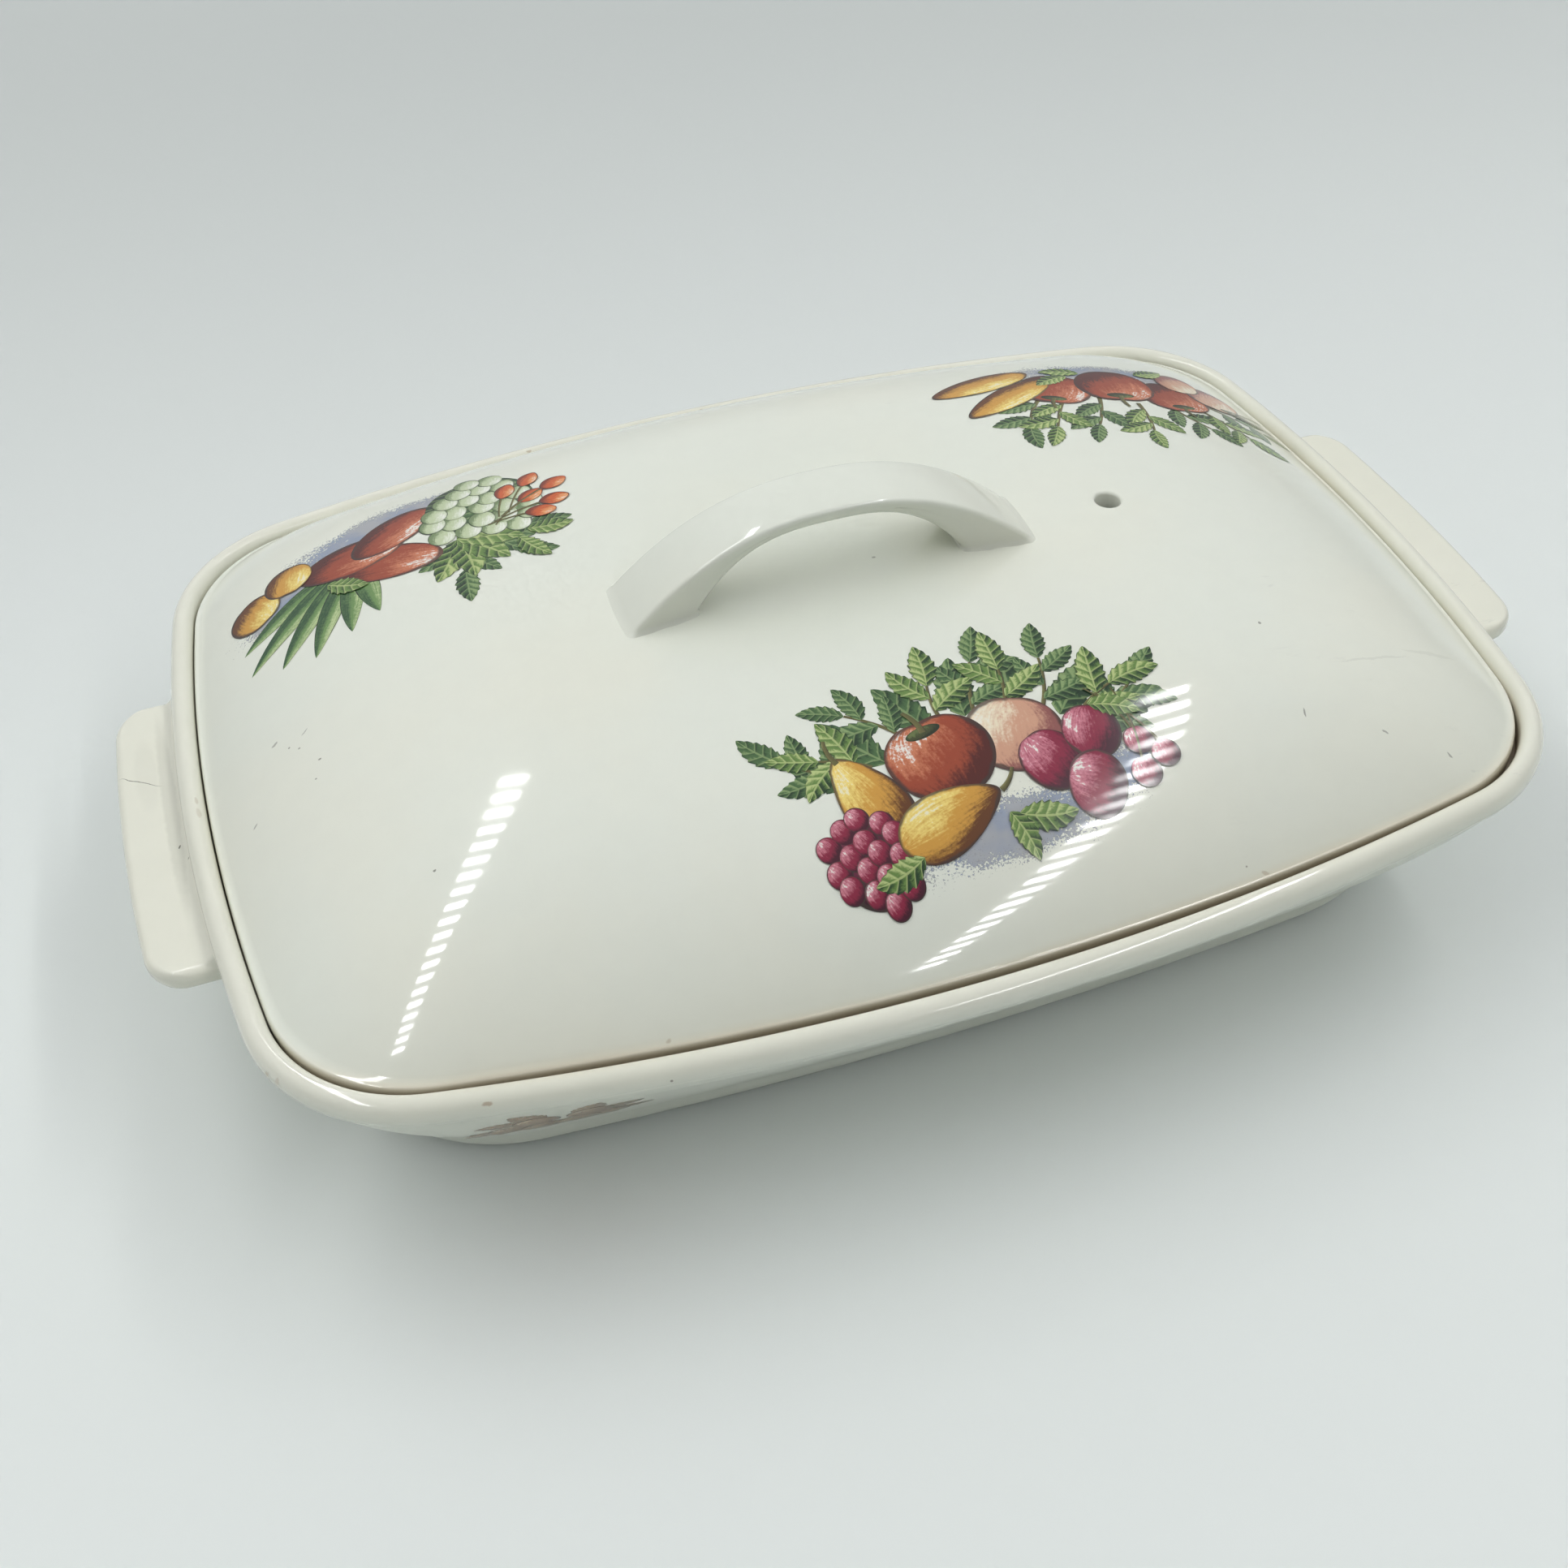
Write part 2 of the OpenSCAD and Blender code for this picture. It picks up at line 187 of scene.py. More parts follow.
def outline(form):
    """The whole outline, anticlockwise from the middle of the +X end.

    Its corner arcs touch the long sides' arcs and the short ends' from inside.
    """
    side = Vector((0, form.half_w - form.side_r))
    end = Vector((form.half_l - form.end_r, 0))
    reach_side = form.side_r - form.corner_r
    reach_end = form.end_r - form.corner_r
    span = (end - side).length
    along = (reach_side**2 - reach_end**2 + span**2) / (2 * span)
    across = sqrt(reach_side**2 - along**2)
    way = (end - side) / span
    centre = side + way * along + Vector((way.y, -way.x)) * across
    end_turn = atan2(*reversed(centre - end))
    side_turn = atan2(*reversed(centre - side))
    part = arc(end, form.end_r, 0, end_turn, END_STEPS)
    part += arc(centre, form.corner_r, end_turn, side_turn, CORNER_STEPS)
    part += arc(side, form.side_r, side_turn, radians(90), SIDE_STEPS)
    left = [Vector((-p.x, p.y)) for p in reversed(part[1:])]
    half = part + [Vector((0, form.half_w))] + left
    return half + [-p for p in half]


def level(form, depth, z, bare=0):
    """A level ring: a form's outline, drawn in by a depth."""
    return Ring([Vector((p.x, p.y, z)) for p in outline(inset(form, depth))], bare)


def pick(*pieces):
    """Selects these pieces alone, and makes the first one active."""
    bpy.ops.object.select_all(action="DESELECT")
    for piece in pieces:
        piece.select_set(True)
    bpy.context.view_layer.objects.active = pieces[0]


def place_ring(piece, ring):
    """Moves the selected corners of a piece to a ring's points."""
    mesh = bmesh.from_edit_mesh(piece.data)
    station = mesh.verts.layers.int["station"]
    bare = mesh.verts.layers.float["bare"]
    for corner in mesh.verts:
        if corner.select:
            corner.co = ring.points[corner[station]]
            corner[bare] = ring.bare
    bmesh.update_edit_mesh(piece.data)


def skin(name, rings):
    """A closed piece: a flat circle is moved to the first ring and extruded from ring to ring."""
    bpy.ops.mesh.primitive_circle_add(vertices=len(rings[0].points), radius=rim_w, fill_type="NGON")
    piece = bpy.context.object
    piece.name = name
    piece.data.name = name
    bpy.ops.object.mode_set(mode="EDIT")
    mesh = bmesh.from_edit_mesh(piece.data)
    station = mesh.verts.layers.int.new("station")
    mesh.verts.layers.float.new("bare")
    for corner in mesh.verts:
        corner[station] = corner.index
    place_ring(piece, rings[0])
    for ring in rings[1:]:
        bpy.ops.mesh.extrude_region_move()
        place_ring(piece, ring)
    bpy.ops.mesh.select_all(action="SELECT")
    bpy.ops.mesh.normals_make_consistent(inside=False)
    bpy.ops.object.mode_set(mode="OBJECT")
    return piece


def smooth(piece, limit=38):
    """Shades a piece smooth, but for edges sharper than this many degrees."""
    pick(piece)
    bpy.ops.object.shade_smooth_by_angle(angle=radians(limit))
    return piece


def dress(piece, material):
    """Gives a piece its material and its place in the part."""
    piece.data.materials.append(material)
    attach(piece, "root")


# The dish

wall_top_z = dish_height - rim_roll_h * 2 - roll_undercut
wall_top_form = inset(rim_form, rim_overhang)
foot_form = inset(base_form, heel_r)
UNDER_ROLL_TURN = 58
ROLL_FALL = 0.75


def wall_form(z):
    """The outer wall's form at a height, between the base and the rim's underside."""
    share = max(0, min(1, (wall_top_z - z) / (wall_top_z - heel_r)))
    return Form(*(mix(a, b, share) for a, b in zip(wall_top_form, base_form)))


def foot_rings():
    """The hollow under the dish and the dry ring that it stands on."""
    soft = foot_hollow / 4
    hollow = inset(foot_form, foot_w + foot_hollow)
    return [
        level(hollow, foot_w, foot_hollow),
        level(hollow, 0, foot_hollow),
        level(foot_form, foot_w + soft, soft, 1),
        level(foot_form, foot_w - soft, 0, 1),
        level(foot_form, 0, 0, 1),
    ]


# Painted cool shade: the blue-grey that the lower wall and the roll's underside show in shade
COOL_SHADE = -1
# From which share of its turn the heel is dry, and how much the painted cool shade fades up to there
DRY_HEEL = 0.85
HEEL_SHADE_FADE = 0.4


def heel_rings():
    rings = []
    # The dry heel shows the clay; above it the painted cool shade comes in, weaker near the dry part
    for share, s, c in reversed(quarter(10)):
        bare = 1 if share > DRY_HEEL else COOL_SHADE + HEEL_SHADE_FADE * share
        rings.append(level(base_form, heel_r * (1 - c), heel_r * (1 - s), bare))
    return rings[1:]


def outer_wall_rings():
    heights = [mix(heel_r, wall_top_z, share) for share in steps(12, 1)]
    # The whole outer wall gets the painted cool shade
    return [level(wall_form(z), 0, z, COOL_SHADE) for z in heights]


def roll_rings():
    """Under the rolled rim's overhang, over its crest, and down to the lid's seat."""
    rings = []
    widest_z = dish_height - rim_roll_h
    under = radians(UNDER_ROLL_TURN)
    first_depth = rim_crest * (1 - cos(under))
    first_z = widest_z - rim_roll_h * sin(under)
    # Under the roll and up to its crest the painted cool shade fades out
    for share in (0.3, 0.6, 0.85):
        depth = mix(rim_overhang, first_depth, share**1.7)
        rings.append(level(rim_form, depth, mix(wall_top_z, first_z, share), COOL_SHADE))
    for share in steps(6):
        turn = under * (1 - share)
        z = widest_z - rim_roll_h * sin(turn)
        rings.append(level(rim_form, rim_crest * (1 - cos(turn)), z, COOL_SHADE + 0.3 * share))
    for share, s, c in quarter(10, 1):
        bare = 0.85 * share - 0.7
        rings.append(level(rim_form, rim_crest * (1 - c), widest_z + rim_roll_h * s, bare))
    # Down the inner face to the seat the clay colour comes in: painted shade of the seam with the lid
    for share, s, c in quarter(10, 1):
        z = dish_height - rim_roll_h * ROLL_FALL * (1 - c)
        rings.append(level(rim_form, mix(rim_crest, rim_w, s), z, 0.15 + 0.5 * share**2))
    for share, bare in ((0.2, 0.8), (0, 0.9)):
        rings.append(level(rim_form, rim_w, mix(seat_z, dish_height, share), bare))
    return rings


def inside_rings():
    """The ledge, the inner wall that keeps the wall's thickness, and the cove to the floor."""
    ledge = inset(rim_form, rim_w + seat_w)
    rings = [level(ledge, -seat_round, seat_z, 0.8)]
    for _, s, c in quarter(4, 1):
        rings.append(level(ledge, seat_round * (s - 1), seat_z - seat_round * (1 - c), 0.2))
    for share in steps(8):
        z = mix(seat_z - ledge_fade, floor_t + floor_cove_r, share)
        rings.append(level(wall_form(z), wall_t, z))
    for _, s, c in quarter(10, 1):
        z = floor_t + floor_cove_r * (1 - s)
        rings.append(level(wall_form(z), wall_t + floor_cove_r * (1 - c), z))
    floor = inset(wall_form(floor_t), wall_t + floor_cove_r)
    rings.append(level(floor, wall_t, floor_t))
    return rings


def make_dish():
    rings = foot_rings() + heel_rings() + outer_wall_rings() + roll_rings() + inside_rings()
    return smooth(skin("dish_body", rings))


# The lugs

lug_top_z = dish_height - lug_drop
lug_half = lug_length / 2
lug_hub = half_l - rim_form.end_r


def root_x(z, y):
    form = inset(wall_form(z), lug_sink)
    return form.half_l - form.end_r + sqrt(form.end_r**2 - y**2)


def lug_section(y, out_x, way):
    """One section across the lug, from its root over the cove, the top and the edge to below."""
    # How near the section is to the lug's end, from 0 on the flat top to 1 at the side
    end = max(0, 1 - (lug_half - abs(y)) / lug_edge_r)
    fall = lug_edge_r * (1 - sqrt(1 - end**2))
    rise = lug_edge_r - fall
    top = lug_top_z - fall
    low = lug_top_z - lug_t + fall
    size = lug_cove * (1 - end)
    wall_x = lug_hub + sqrt((rim_form.end_r - lug_cove_depth) ** 2 - y**2)
    reach = lug_hub + out_x - lug_edge_r
    profile = [(root_x(z, y), z) for z in (low, top + size)]
    for _, s, c in quarter(8):
        profile.append((wall_x + size * lug_cove_run * (1 - c), top + size * (1 - s)))
    profile += [(mix(wall_x + size * lug_cove_run, reach, share), top) for share in (0.25, 0.5, 0.75)]
    for _, s, c in reversed(quarter(6)):
        profile.append((reach + lug_edge_r * c, top - rise * (1 - s)))
    for _, s, c in quarter(6, 1):
        profile.append((reach + lug_edge_r * c, low + rise * (1 - s)))
    return Ring([Vector((way * x, way * y, z)) for x, z in profile], 0)


def make_lug(name, way):
    out_r = rim_form.end_r + lug_reach
    corner_y = lug_half - lug_corner_r
    corner_x = sqrt((out_r - lug_corner_r) ** 2 - corner_y**2)
    turn = asin(corner_y / (out_r - lug_corner_r))
    edge = [(out_r * sin(turn * share), out_r * cos(turn * share)) for share in steps(16)[:-1]]
    for share in steps(18):
        angle = mix(turn, radians(90), share)
        edge.append((corner_y + lug_corner_r * sin(angle), corner_x + lug_corner_r * cos(angle)))
    stations = [(-y, x) for y, x in reversed(edge[1:])] + edge
    return smooth(skin(name, [lug_section(y, x, way) for y, x in stations]), 50)


# The lid


def dome_z(share):
    return lid_edge_z + dome_rise * (1 - share**dome_fullness)


def dome_ring(form, share, z, bare=0):
    """The lid's outline drawn in to a share, turning from the oblong to an ellipse on the way."""
    points = []
    for p in outline(form):
        angle = atan2(p.y / form.half_w, p.x / form.half_l)
        ellipse = Vector((form.half_l * cos(angle), form.half_w * sin(angle)))
        spot = share * mix(p, ellipse, 1 - share)
        points.append(Vector((spot.x, spot.y, z)))
    return Ring(points, bare)


DOME_STEPS = 34
DOME_TURN = 82
# Tan on the first dome rings: thin glaze and painted shade beside the gap at the lid's edge
DOME_THIN_AND_SHADE = 0.36
dome_shares = [sin(radians(DOME_TURN) * share) for share in steps(DOME_STEPS, 1)]


def hollow_rings():
    form = inset(lid_form, lid_foot_w + hollow_slope)
    rings = []
    for share in dome_shares:
        z = dome_z(share * form.half_w / lid_form.half_w) - lid_t
        rings.append(dome_ring(form, share, z))
    return rings


def edge_rings():
    """The dry foot that rests on the ledge, then up and round over the lid's edge."""
    top_z = dome_z((lid_w - lid_edge_round) / lid_w)
    face_z = lid_edge_z - lid_edge_round
    rings = [level(lid_form, lid_foot_w, seat_z, 1)]
    for _, s, c in quarter(5):
        rings.append(level(lid_form, lid_edge_round * (1 - s), seat_z + lid_edge_round * (1 - c), 1))
    # Round over the edge the clay colour, strongest on the side, is painted shade of the gap between lid and
    # rim
    for share, s, c in reversed(quarter(8)):
        z = mix(face_z, top_z, c)
        rings.append(level(lid_form, lid_edge_round * (1 - s), z, mix(0.5, 1, share)))
    return rings


def dome_rings():
    """The dome's rings from its edge to its crown. The first two get a tan tint, for thin glaze and painted
    shade beside the gap.
    """
    rings = []
    for i, share in enumerate(reversed(dome_shares)):
        rings.append(dome_ring(lid_form, share, dome_z(share), max(0, DOME_THIN_AND_SHADE * (1 - i / 2))))
    return rings


# Sharper edges of the vent are softened
VENT_EDGE_TURN = 50


def cut_vent(lid):
    """Bores the steam vent through the lid and softens both its edges."""
    bpy.ops.mesh.primitive_cylinder_add(
        vertices=48, radius=vent_d / 2, depth=dome_rise * 2, location=(vent_x, 0, crown_z)
    )
    drill = bpy.context.object
    cut = lid.modifiers.new("vent", "BOOLEAN")
    cut.object = drill
    cut.solver = "EXACT"
    pick(lid)
    bpy.ops.object.modifier_apply(modifier=cut.name)
    bpy.data.objects.remove(drill)
    bpy.ops.object.mode_set(mode="EDIT")
    bpy.ops.mesh.select_all(action="DESELECT")
    mesh = bmesh.from_edit_mesh(lid.data)
    mesh.select_mode = {"EDGE"}
    for edge in mesh.edges:
        middle = (edge.verts[0].co + edge.verts[1].co) / 2
        near = hypot(middle.x - vent_x, middle.y) < vent_d / 2 + vent_edge_r / 4
        if near and len(edge.link_faces) == 2 and edge.calc_face_angle() > radians(VENT_EDGE_TURN):
            edge.select_set(True)
    bmesh.update_edit_mesh(lid.data)
    bpy.ops.mesh.bevel(offset=vent_edge_r, segments=4, affect="EDGES")
    bpy.ops.object.mode_set(mode="OBJECT")


def make_lid():
    lid = skin("lid_dome", hollow_rings() + edge_rings() + dome_rings())
    cut_vent(lid)
    return smooth(lid)


# Where the dome's surface is

plan = outline(lid_form)
plan_turns = [atan2(p.y / lid_w, p.x / lid_l) for p in plan]
plan_reach = [hypot(p.x / lid_l, p.y / lid_w) for p in plan]


def oblong_reach(turn):
    """How far past the ellipse the lid's outline lies, in a direction on its plan."""
    turn = atan2(abs(sin(turn)), abs(cos(turn)))
    count = END_STEPS + CORNER_STEPS + SIDE_STEPS
    for i in range(count):
        if plan_turns[i + 1] >= turn:
            share = (turn - plan_turns[i]) / (plan_turns[i + 1] - plan_turns[i])
            return mix(plan_reach[i], plan_reach[i + 1], share)
    return 1


def dome_height(x, y):
    """Height of the lid's surface over a point of its plan."""
    reach = hypot(x / lid_l, y / lid_w)
    extra = oblong_reach(atan2(y / lid_w, x / lid_l)) - 1
    share = reach if extra < 1e-6 else (sqrt(1 + 4 * extra * reach) - 1) / (2 * extra)
    return dome_z(share)


# The handle

UPPER_FULLNESS = 2.3
UNDER_FULLNESS = 2.9
SPREAD_POWER = 4
FLARE_POWER = 3
EDGE_LIMIT = 0.45
STRAP_STEPS = 48
gap_top_z = crown_z + gap_height
upper_z = gap_top_z + strap_t


def under_point(share):
    half = gap_length / 2
    base = dome_z(half / lid_l) - foot_sink
    return Vector((half * share, base + (gap_top_z - base) * (1 - share**UNDER_FULLNESS)))


def upper_point(share):
    half = handle_length / 2
    base = dome_z(half / lid_l) - foot_sink
    x = gap_length / 2 * share + (half - gap_length / 2) * share**SPREAD_POWER
    return Vector((x, base + (upper_z - base) * (1 - (x / half) ** UPPER_FULLNESS)))


def strap_section(place):
    share = abs(place)
    side = -1 if place < 0 else 1
    low = under_point(share)
    high = upper_point(share)
    depth = (high - low).length
    up = (high - low) / depth
    half = strap_w / 2 + foot_flare / 2 * share**FLARE_POWER
    low_r = min(strap_edge_r, depth * EDGE_LIMIT)
    top_r = min(strap_top_r, depth * EDGE_LIMIT)
    profile = []
    for y_way, d_way in ((1, 1), (-1, 1), (-1, -1), (1, -1)):
        r = top_r if d_way > 0 else low_r
        for _, s, c in quarter(7)[:: y_way * d_way]:
            profile.append((y_way * (half - r + r * c), depth / 2 + d_way * (depth / 2 - r + r * s)))
        if y_way * d_way > 0:
            flat = (half - r) * y_way
            profile += [(mix(flat, -flat, step), profile[-1][1]) for step in steps(8)[1:-1]]
        else:
            wall = profile[-1][0]
            ends = (depth - top_r, low_r) if y_way < 0 else (low_r, depth - top_r)
            profile += [(wall, mix(*ends, step)) for step in steps(4)[1:-1]]
    points = []
    for y, d in profile:
        crown = strap_crown * (y / half) ** 2 * (1 if d > depth / 2 else 0)
        p = low + up * (d - crown)
        points.append(Vector((side * p.x, y * (1 - strap_tuck / half * (1 - d / depth)), p.y)))
    return Ring(points, 0)


def flare_feet(handle):
    """Runs the handle's feet out over the dome in a hollow fillet, as glaze fills that corner."""
    handle.data.update()
    normals = [Vector(n.vector) for n in handle.data.vertex_normals]
    for corner, normal in zip(handle.data.vertices, normals):
        height = corner.co.z - dome_height(*corner.co.xy)
        if height < foot_fillet:
            rest = foot_fillet - max(0, height)
            run = foot_fillet - sqrt(foot_fillet**2 - rest**2)
            corner.co += Vector((normal.x, normal.y, 0)) * run


def make_handle():
    places = [sin(radians(90) * (i / STRAP_STEPS)) for i in range(-STRAP_STEPS, STRAP_STEPS + 1)]
    handle = skin("lid_handle", [strap_section(place) for place in places])
    flare_feet(handle)
    return smooth(handle, 60)


# Shader trees


def tree_of(*values):
    """The shader tree of the first value that is a socket."""
    return next(value.id_data for value in values if isinstance(value, bpy.types.NodeSocket))


def connect(socket, value):
    if isinstance(value, bpy.types.NodeSocket):
        socket.id_data.links.new(value, socket)
    else:
        socket.default_value = value


def feed(node, **sockets):
    """Gives each named socket of a node its value or its link."""
    for name, value in sockets.items():
        connect(node.inputs[name.replace("_", " ")], value)


def put(tree, kind, settings=(), **sockets):
    """Adds a shader node, with its settings and its sockets' values or links."""
    node = tree.nodes.new("ShaderNode" + kind)
    for name, value in dict(settings).items():
        setattr(node, name, value)
    feed(node, **sockets)
    return node


def calc(operation, *values, kind="Math", output=0):
    node = put(tree_of(*values), kind, {"operation": operation})
    for socket, value in zip(node.inputs, values):
        connect(socket, value)
    return node.outputs[output]


times = partial(calc, "MULTIPLY")
plus = partial(calc, "ADD")
minus = partial(calc, "SUBTRACT")


def ramp(value, low, high, out_low=0, out_high=1):
    """A smooth step of a value between two limits."""
    node = put(tree_of(value), "MapRange", {"interpolation_type": "SMOOTHSTEP"}, Value=value, From_Min=low,
               From_Max=high, To_Min=out_low, To_Max=out_high)
    return node.outputs[0]


def blend(factor, first, second, kind="MIX"):
    node = put(tree_of(factor, first), "Mix", {"data_type": "RGBA", "blend_type": kind}, Factor=factor)
    connect(node.inputs[6], first)
    connect(node.inputs[7], second)
    return node.outputs[2]


def noise(vector, scale, detail=2, roughness=0.5, output=0):
    node = put(tree_of(vector), "TexNoise", Vector=vector, Scale=scale, Detail=detail, Roughness=roughness)
    return node.outputs[output]


def parts(vector):
    """The three numbers of a vector."""
    return put(tree_of(vector), "SeparateXYZ", Vector=vector).outputs


def stored(tree, name, output="Fac"):
    """A value that the mesh carries."""
    return put(tree, "Attribute", {"attribute_name": name}).outputs[output]


def new_group(name, inputs, outputs):
    """A shader node group: its tree, what it is given, and the node that takes what it makes."""
    tree = bpy.data.node_groups.new(name, "ShaderNodeTree")
    for way, sockets in (("INPUT", inputs), ("OUTPUT", outputs)):
        for kind, labels in sockets.items():
            for label in labels.split():
                tree.interface.new_socket(label, in_out=way, socket_type="NodeSocket" + kind)
    return tree, tree.nodes.new("NodeGroupInput").outputs, tree.nodes.new("NodeGroupOutput")


IRON_SPECK = (0.16, 0.13, 0.11, 1)
GREY_SCUFF = (0.42, 0.42, 0.4, 1)
# Painted cool shade of faces that look down
COOL_SHADE_TINT = (0.96, 0.99, 1.01, 1)
# Tan of thin glaze, also used as painted shade at the seam between lid and rim
THIN_GLAZE_AND_SHADE = (0.58, 0.48, 0.33, 1)


def build_glaze_group():
    """Glaze over a pale body: drift of tone, iron specks, grey scuffs, dry clay, and painted shade, dark at
    the lid's seam and cool on the lower wall.
    """
    tree, given, made = new_group(
        "glaze_tone",
        {"Vector": "Vector", "Color": "Glaze Warm Clay", "Float": "Bare Specks Scuffs"},
        {"Color": "Color", "Float": "Roughness Height"},
    )
    place = given["Vector"]
    drift = noise(place, 14, 3)
    tone = blend(ramp(drift, 0.35, 0.7), given["Glaze"], given["Warm"])
    mottle = ramp(noise(place, 160, 3), 0.3, 0.7, 0.992, 1.004)
    tone = blend(1, tone, mottle, "MULTIPLY")
    cells = put(tree, "TexVoronoi", Vector=place, Scale=85, Randomness=1).outputs
    rare = ramp(put(tree, "SeparateColor", Color=cells["Color"]).outputs[0], 0.86, 0.9)
    dot = ramp(cells["Distance"], 0.02, 0.035, 1, 0)
    speck = times(times(rare, dot), given["Specks"])
    tone = blend(speck, tone, IRON_SPECK)
    lanes = put(tree, "Mapping", Vector=place, Scale=(60, 210, 60), Rotation=(0, 0, 0.5)).outputs[0]
    patch = ramp(noise(place, 9, 1), 0.55, 0.7)
    scuff = times(ramp(noise(lanes, 1, 4, 0.7), 0.63, 0.74), patch)
    scuff = times(scuff, given["Scuffs"])
    tone = blend(scuff, tone, GREY_SCUFF)
    # Painted cool shade where the ring value is below 0
    cool = ramp(given["Bare"], -1, 0, 1, 0)
    tone = blend(cool, tone, blend(1, tone, COOL_SHADE_TINT, "MULTIPLY"))
    # Above 0: tan, then the clay colour, for dry clay, thin glaze and painted shade at the seam
    ragged = plus(given["Bare"], times(minus(drift, 0.5), 0.5))
    dry = ramp(ragged, 0.35, 0.95)
    tone = blend(ramp(ragged, 0.1, 0.6, 0, 0.45), tone, THIN_GLAZE_AND_SHADE)
    tone = blend(dry, tone, given["Clay"])
    rough = plus(ramp(noise(place, 45), 0.3, 0.75, 0.035, 0.07), times(dry, 0.5))
    rough = plus(rough, times(calc("MAXIMUM", scuff, cool), 0.25))
    wave = times(noise(place, 24, 1), 0.7)
    peel = plus(times(noise(place, 320), 0.006), times(noise(place, 1500), 0.003))
    height = minus(plus(wave, peel), times(speck, 0.05))
    feed(made, Color=tone, Roughness=rough, Height=height)
    return tree


GLEAM_COLOUR = (0.82, 0.82, 0.76, 1)


def build_brush_group():
    """Brushed colour: shade in strokes along the form, a light spot, and a broken dark outline."""
    tree, given, made = new_group(
        "brushed_form",
        {"Vector": "Vector Brush", "Color": "Light Middle Dark Line", "Float": "Shade Gleam"},
        {"Color": "Color"},
    )
    brush = parts(given["Brush"])
    grain = noise(given["Vector"], 1500, 3, 0.65)
    drift = noise(given["Vector"], 180)
    lane = put(tree, "CombineXYZ", X=times(brush[0], 11), Y=times(brush[1], 1.6), Z=times(drift, 3))
    stroke = noise(lane.outputs[0], 1, 3, 0.6)
    value = given["Shade"]
    for ripple, amount in ((stroke, 0.75), (grain, 0.5), (drift, 0.35)):
        value = plus(value, times(minus(ripple, 0.5), amount))
    tone = blend(ramp(value, -0.02, 0.5), given["Dark"], given["Middle"])
    tone = blend(ramp(value, 0.58, 1.02), tone, given["Light"])
    tone = blend(times(ramp(value, 0.96, 1.1), given["Gleam"]), tone, GLEAM_COLOUR)
    edge = plus(brush[2], times(minus(drift, 0.5), 0.25))
    feed(made, Color=blend(ramp(edge, 0.9, 0.97, 0, 0.85), tone, given["Line"]))
    return tree


def build_vein_group():
    """A leaf's midrib and side veins, as a mask, and the fall of light over each pleat between them."""
    tree, given, made = new_group(
        "leaf_veins", {"Vector": "Brush", "Float": "Count"}, {"Float": "Mask Pleat"}
    )
    brush = parts(given["Brush"])
    aside = calc("ABSOLUTE", brush[0])
    slope = minus(brush[1], times(aside, 0.16))
    phase = calc("FRACT", times(slope, given["Count"]))
    near = calc("ABSOLUTE", minus(phase, 0.5))
    side = ramp(near, 0.05, 0.13, 0.7, 0)
    rib = ramp(aside, 0.04, 0.12, 1, 0)
    pleat = calc("FRACT", plus(phase, 0.5))
    feed(made, Mask=calc("MAXIMUM", side, rib), Pleat=minus(0.5, pleat))
    return tree


glaze_group = build_glaze_group()
brush_group = build_brush_group()
vein_group = build_vein_group()


def new_material(name):
    material = bpy.data.materials.new(name)
    material.use_nodes = True
    tree = material.node_tree
    tree.nodes.clear()
    shader = put(tree, "BsdfPrincipled")
    put(tree, "OutputMaterial", Surface=shader.outputs[0])
    return material, tree, shader


MM = 0.001
GLAZE_WAVE = 0.12 * MM
WASH_BLUE = (0.31, 0.36, 0.47, 1)
WASH_GREY = (0.42, 0.43, 0.46, 1)
# How far the outline of a mark wanders
MARK_WANDER = 0.0012
BROWN_CHIP = (0.36, 0.27, 0.17, 1)
# Dark of scratches, and of a painted shade where the left lug meets the rim
DARK_SCRATCH_AND_SHADE = (0.09, 0.09, 0.06, 1)
# Between which places, from front to back, the clay colour and painted shade of the seam fade
SEAM_SHADE_FRONT = (-0.105, -0.055)


def coat(shader, colour, rough, height):
    """Gives a shader its colour, its roughness and the fine relief of the glaze."""
    bump = put(shader.id_data, "Bump", Distance=GLAZE_WAVE, Height=height)
    feed(shader, Base_Color=colour, Roughness=rough, Normal=bump.outputs["Normal"])


def print_material(name, light, middle, dark, line, gleam, veins):
    """Ink under the glaze, brushed from light to dark. A leaf's ink also has veins."""
    material, tree, shader = new_material("print_" + name)
    place = put(tree, "TexCoord").outputs["Object"]
    brush = stored(tree, "brush", "Vector")
    shade = stored(tree, "shade")
    if veins:
        leaf = put(tree, "Group", {"node_tree": vein_group}, Brush=brush, Count=veins).outputs
        shade = plus(shade, times(leaf["Pleat"], 0.7))
    ink = put(tree, "Group", {"node_tree": brush_group}, Vector=place, Brush=brush, Shade=shade, Light=light,
              Middle=middle, Dark=dark, Line=line, Gleam=gleam).outputs["Color"]
    if veins:
        ink = blend(times(leaf["Mask"], 0.75), ink, light)
    tone = put(tree, "Group", {"node_tree": glaze_group}, Vector=place).outputs
    grain = times(noise(place, 1300), 0.011)
    coat(shader, ink, plus(tone["Roughness"], 0.04), plus(grain, tone["Height"]))
    return material


def shadow_material():
    """The soft blue-grey ground under the printed fruit, in dots that thin out to its edge."""
    material, tree, shader = new_material("print_shadow")
    place = put(tree, "TexCoord").outputs["Object"]
    edge = parts(stored(tree, "brush", "Vector"))[2]
    dots = noise(place, 1700, 2, 0.7)
    wash = noise(place, 130)
    thick = plus(minus(1, edge), times(wash, 0.5))
    cover = plus(ramp(thick, 0.2, 1.2, -0.35, 0.3), dots)
    tone = blend(ramp(wash, 0.35, 0.65), WASH_BLUE, WASH_GREY)
    feed(shader, Base_Color=tone, Alpha=ramp(cover, 0.42, 0.62, 0, 0.85), Roughness=0.05)
    return material


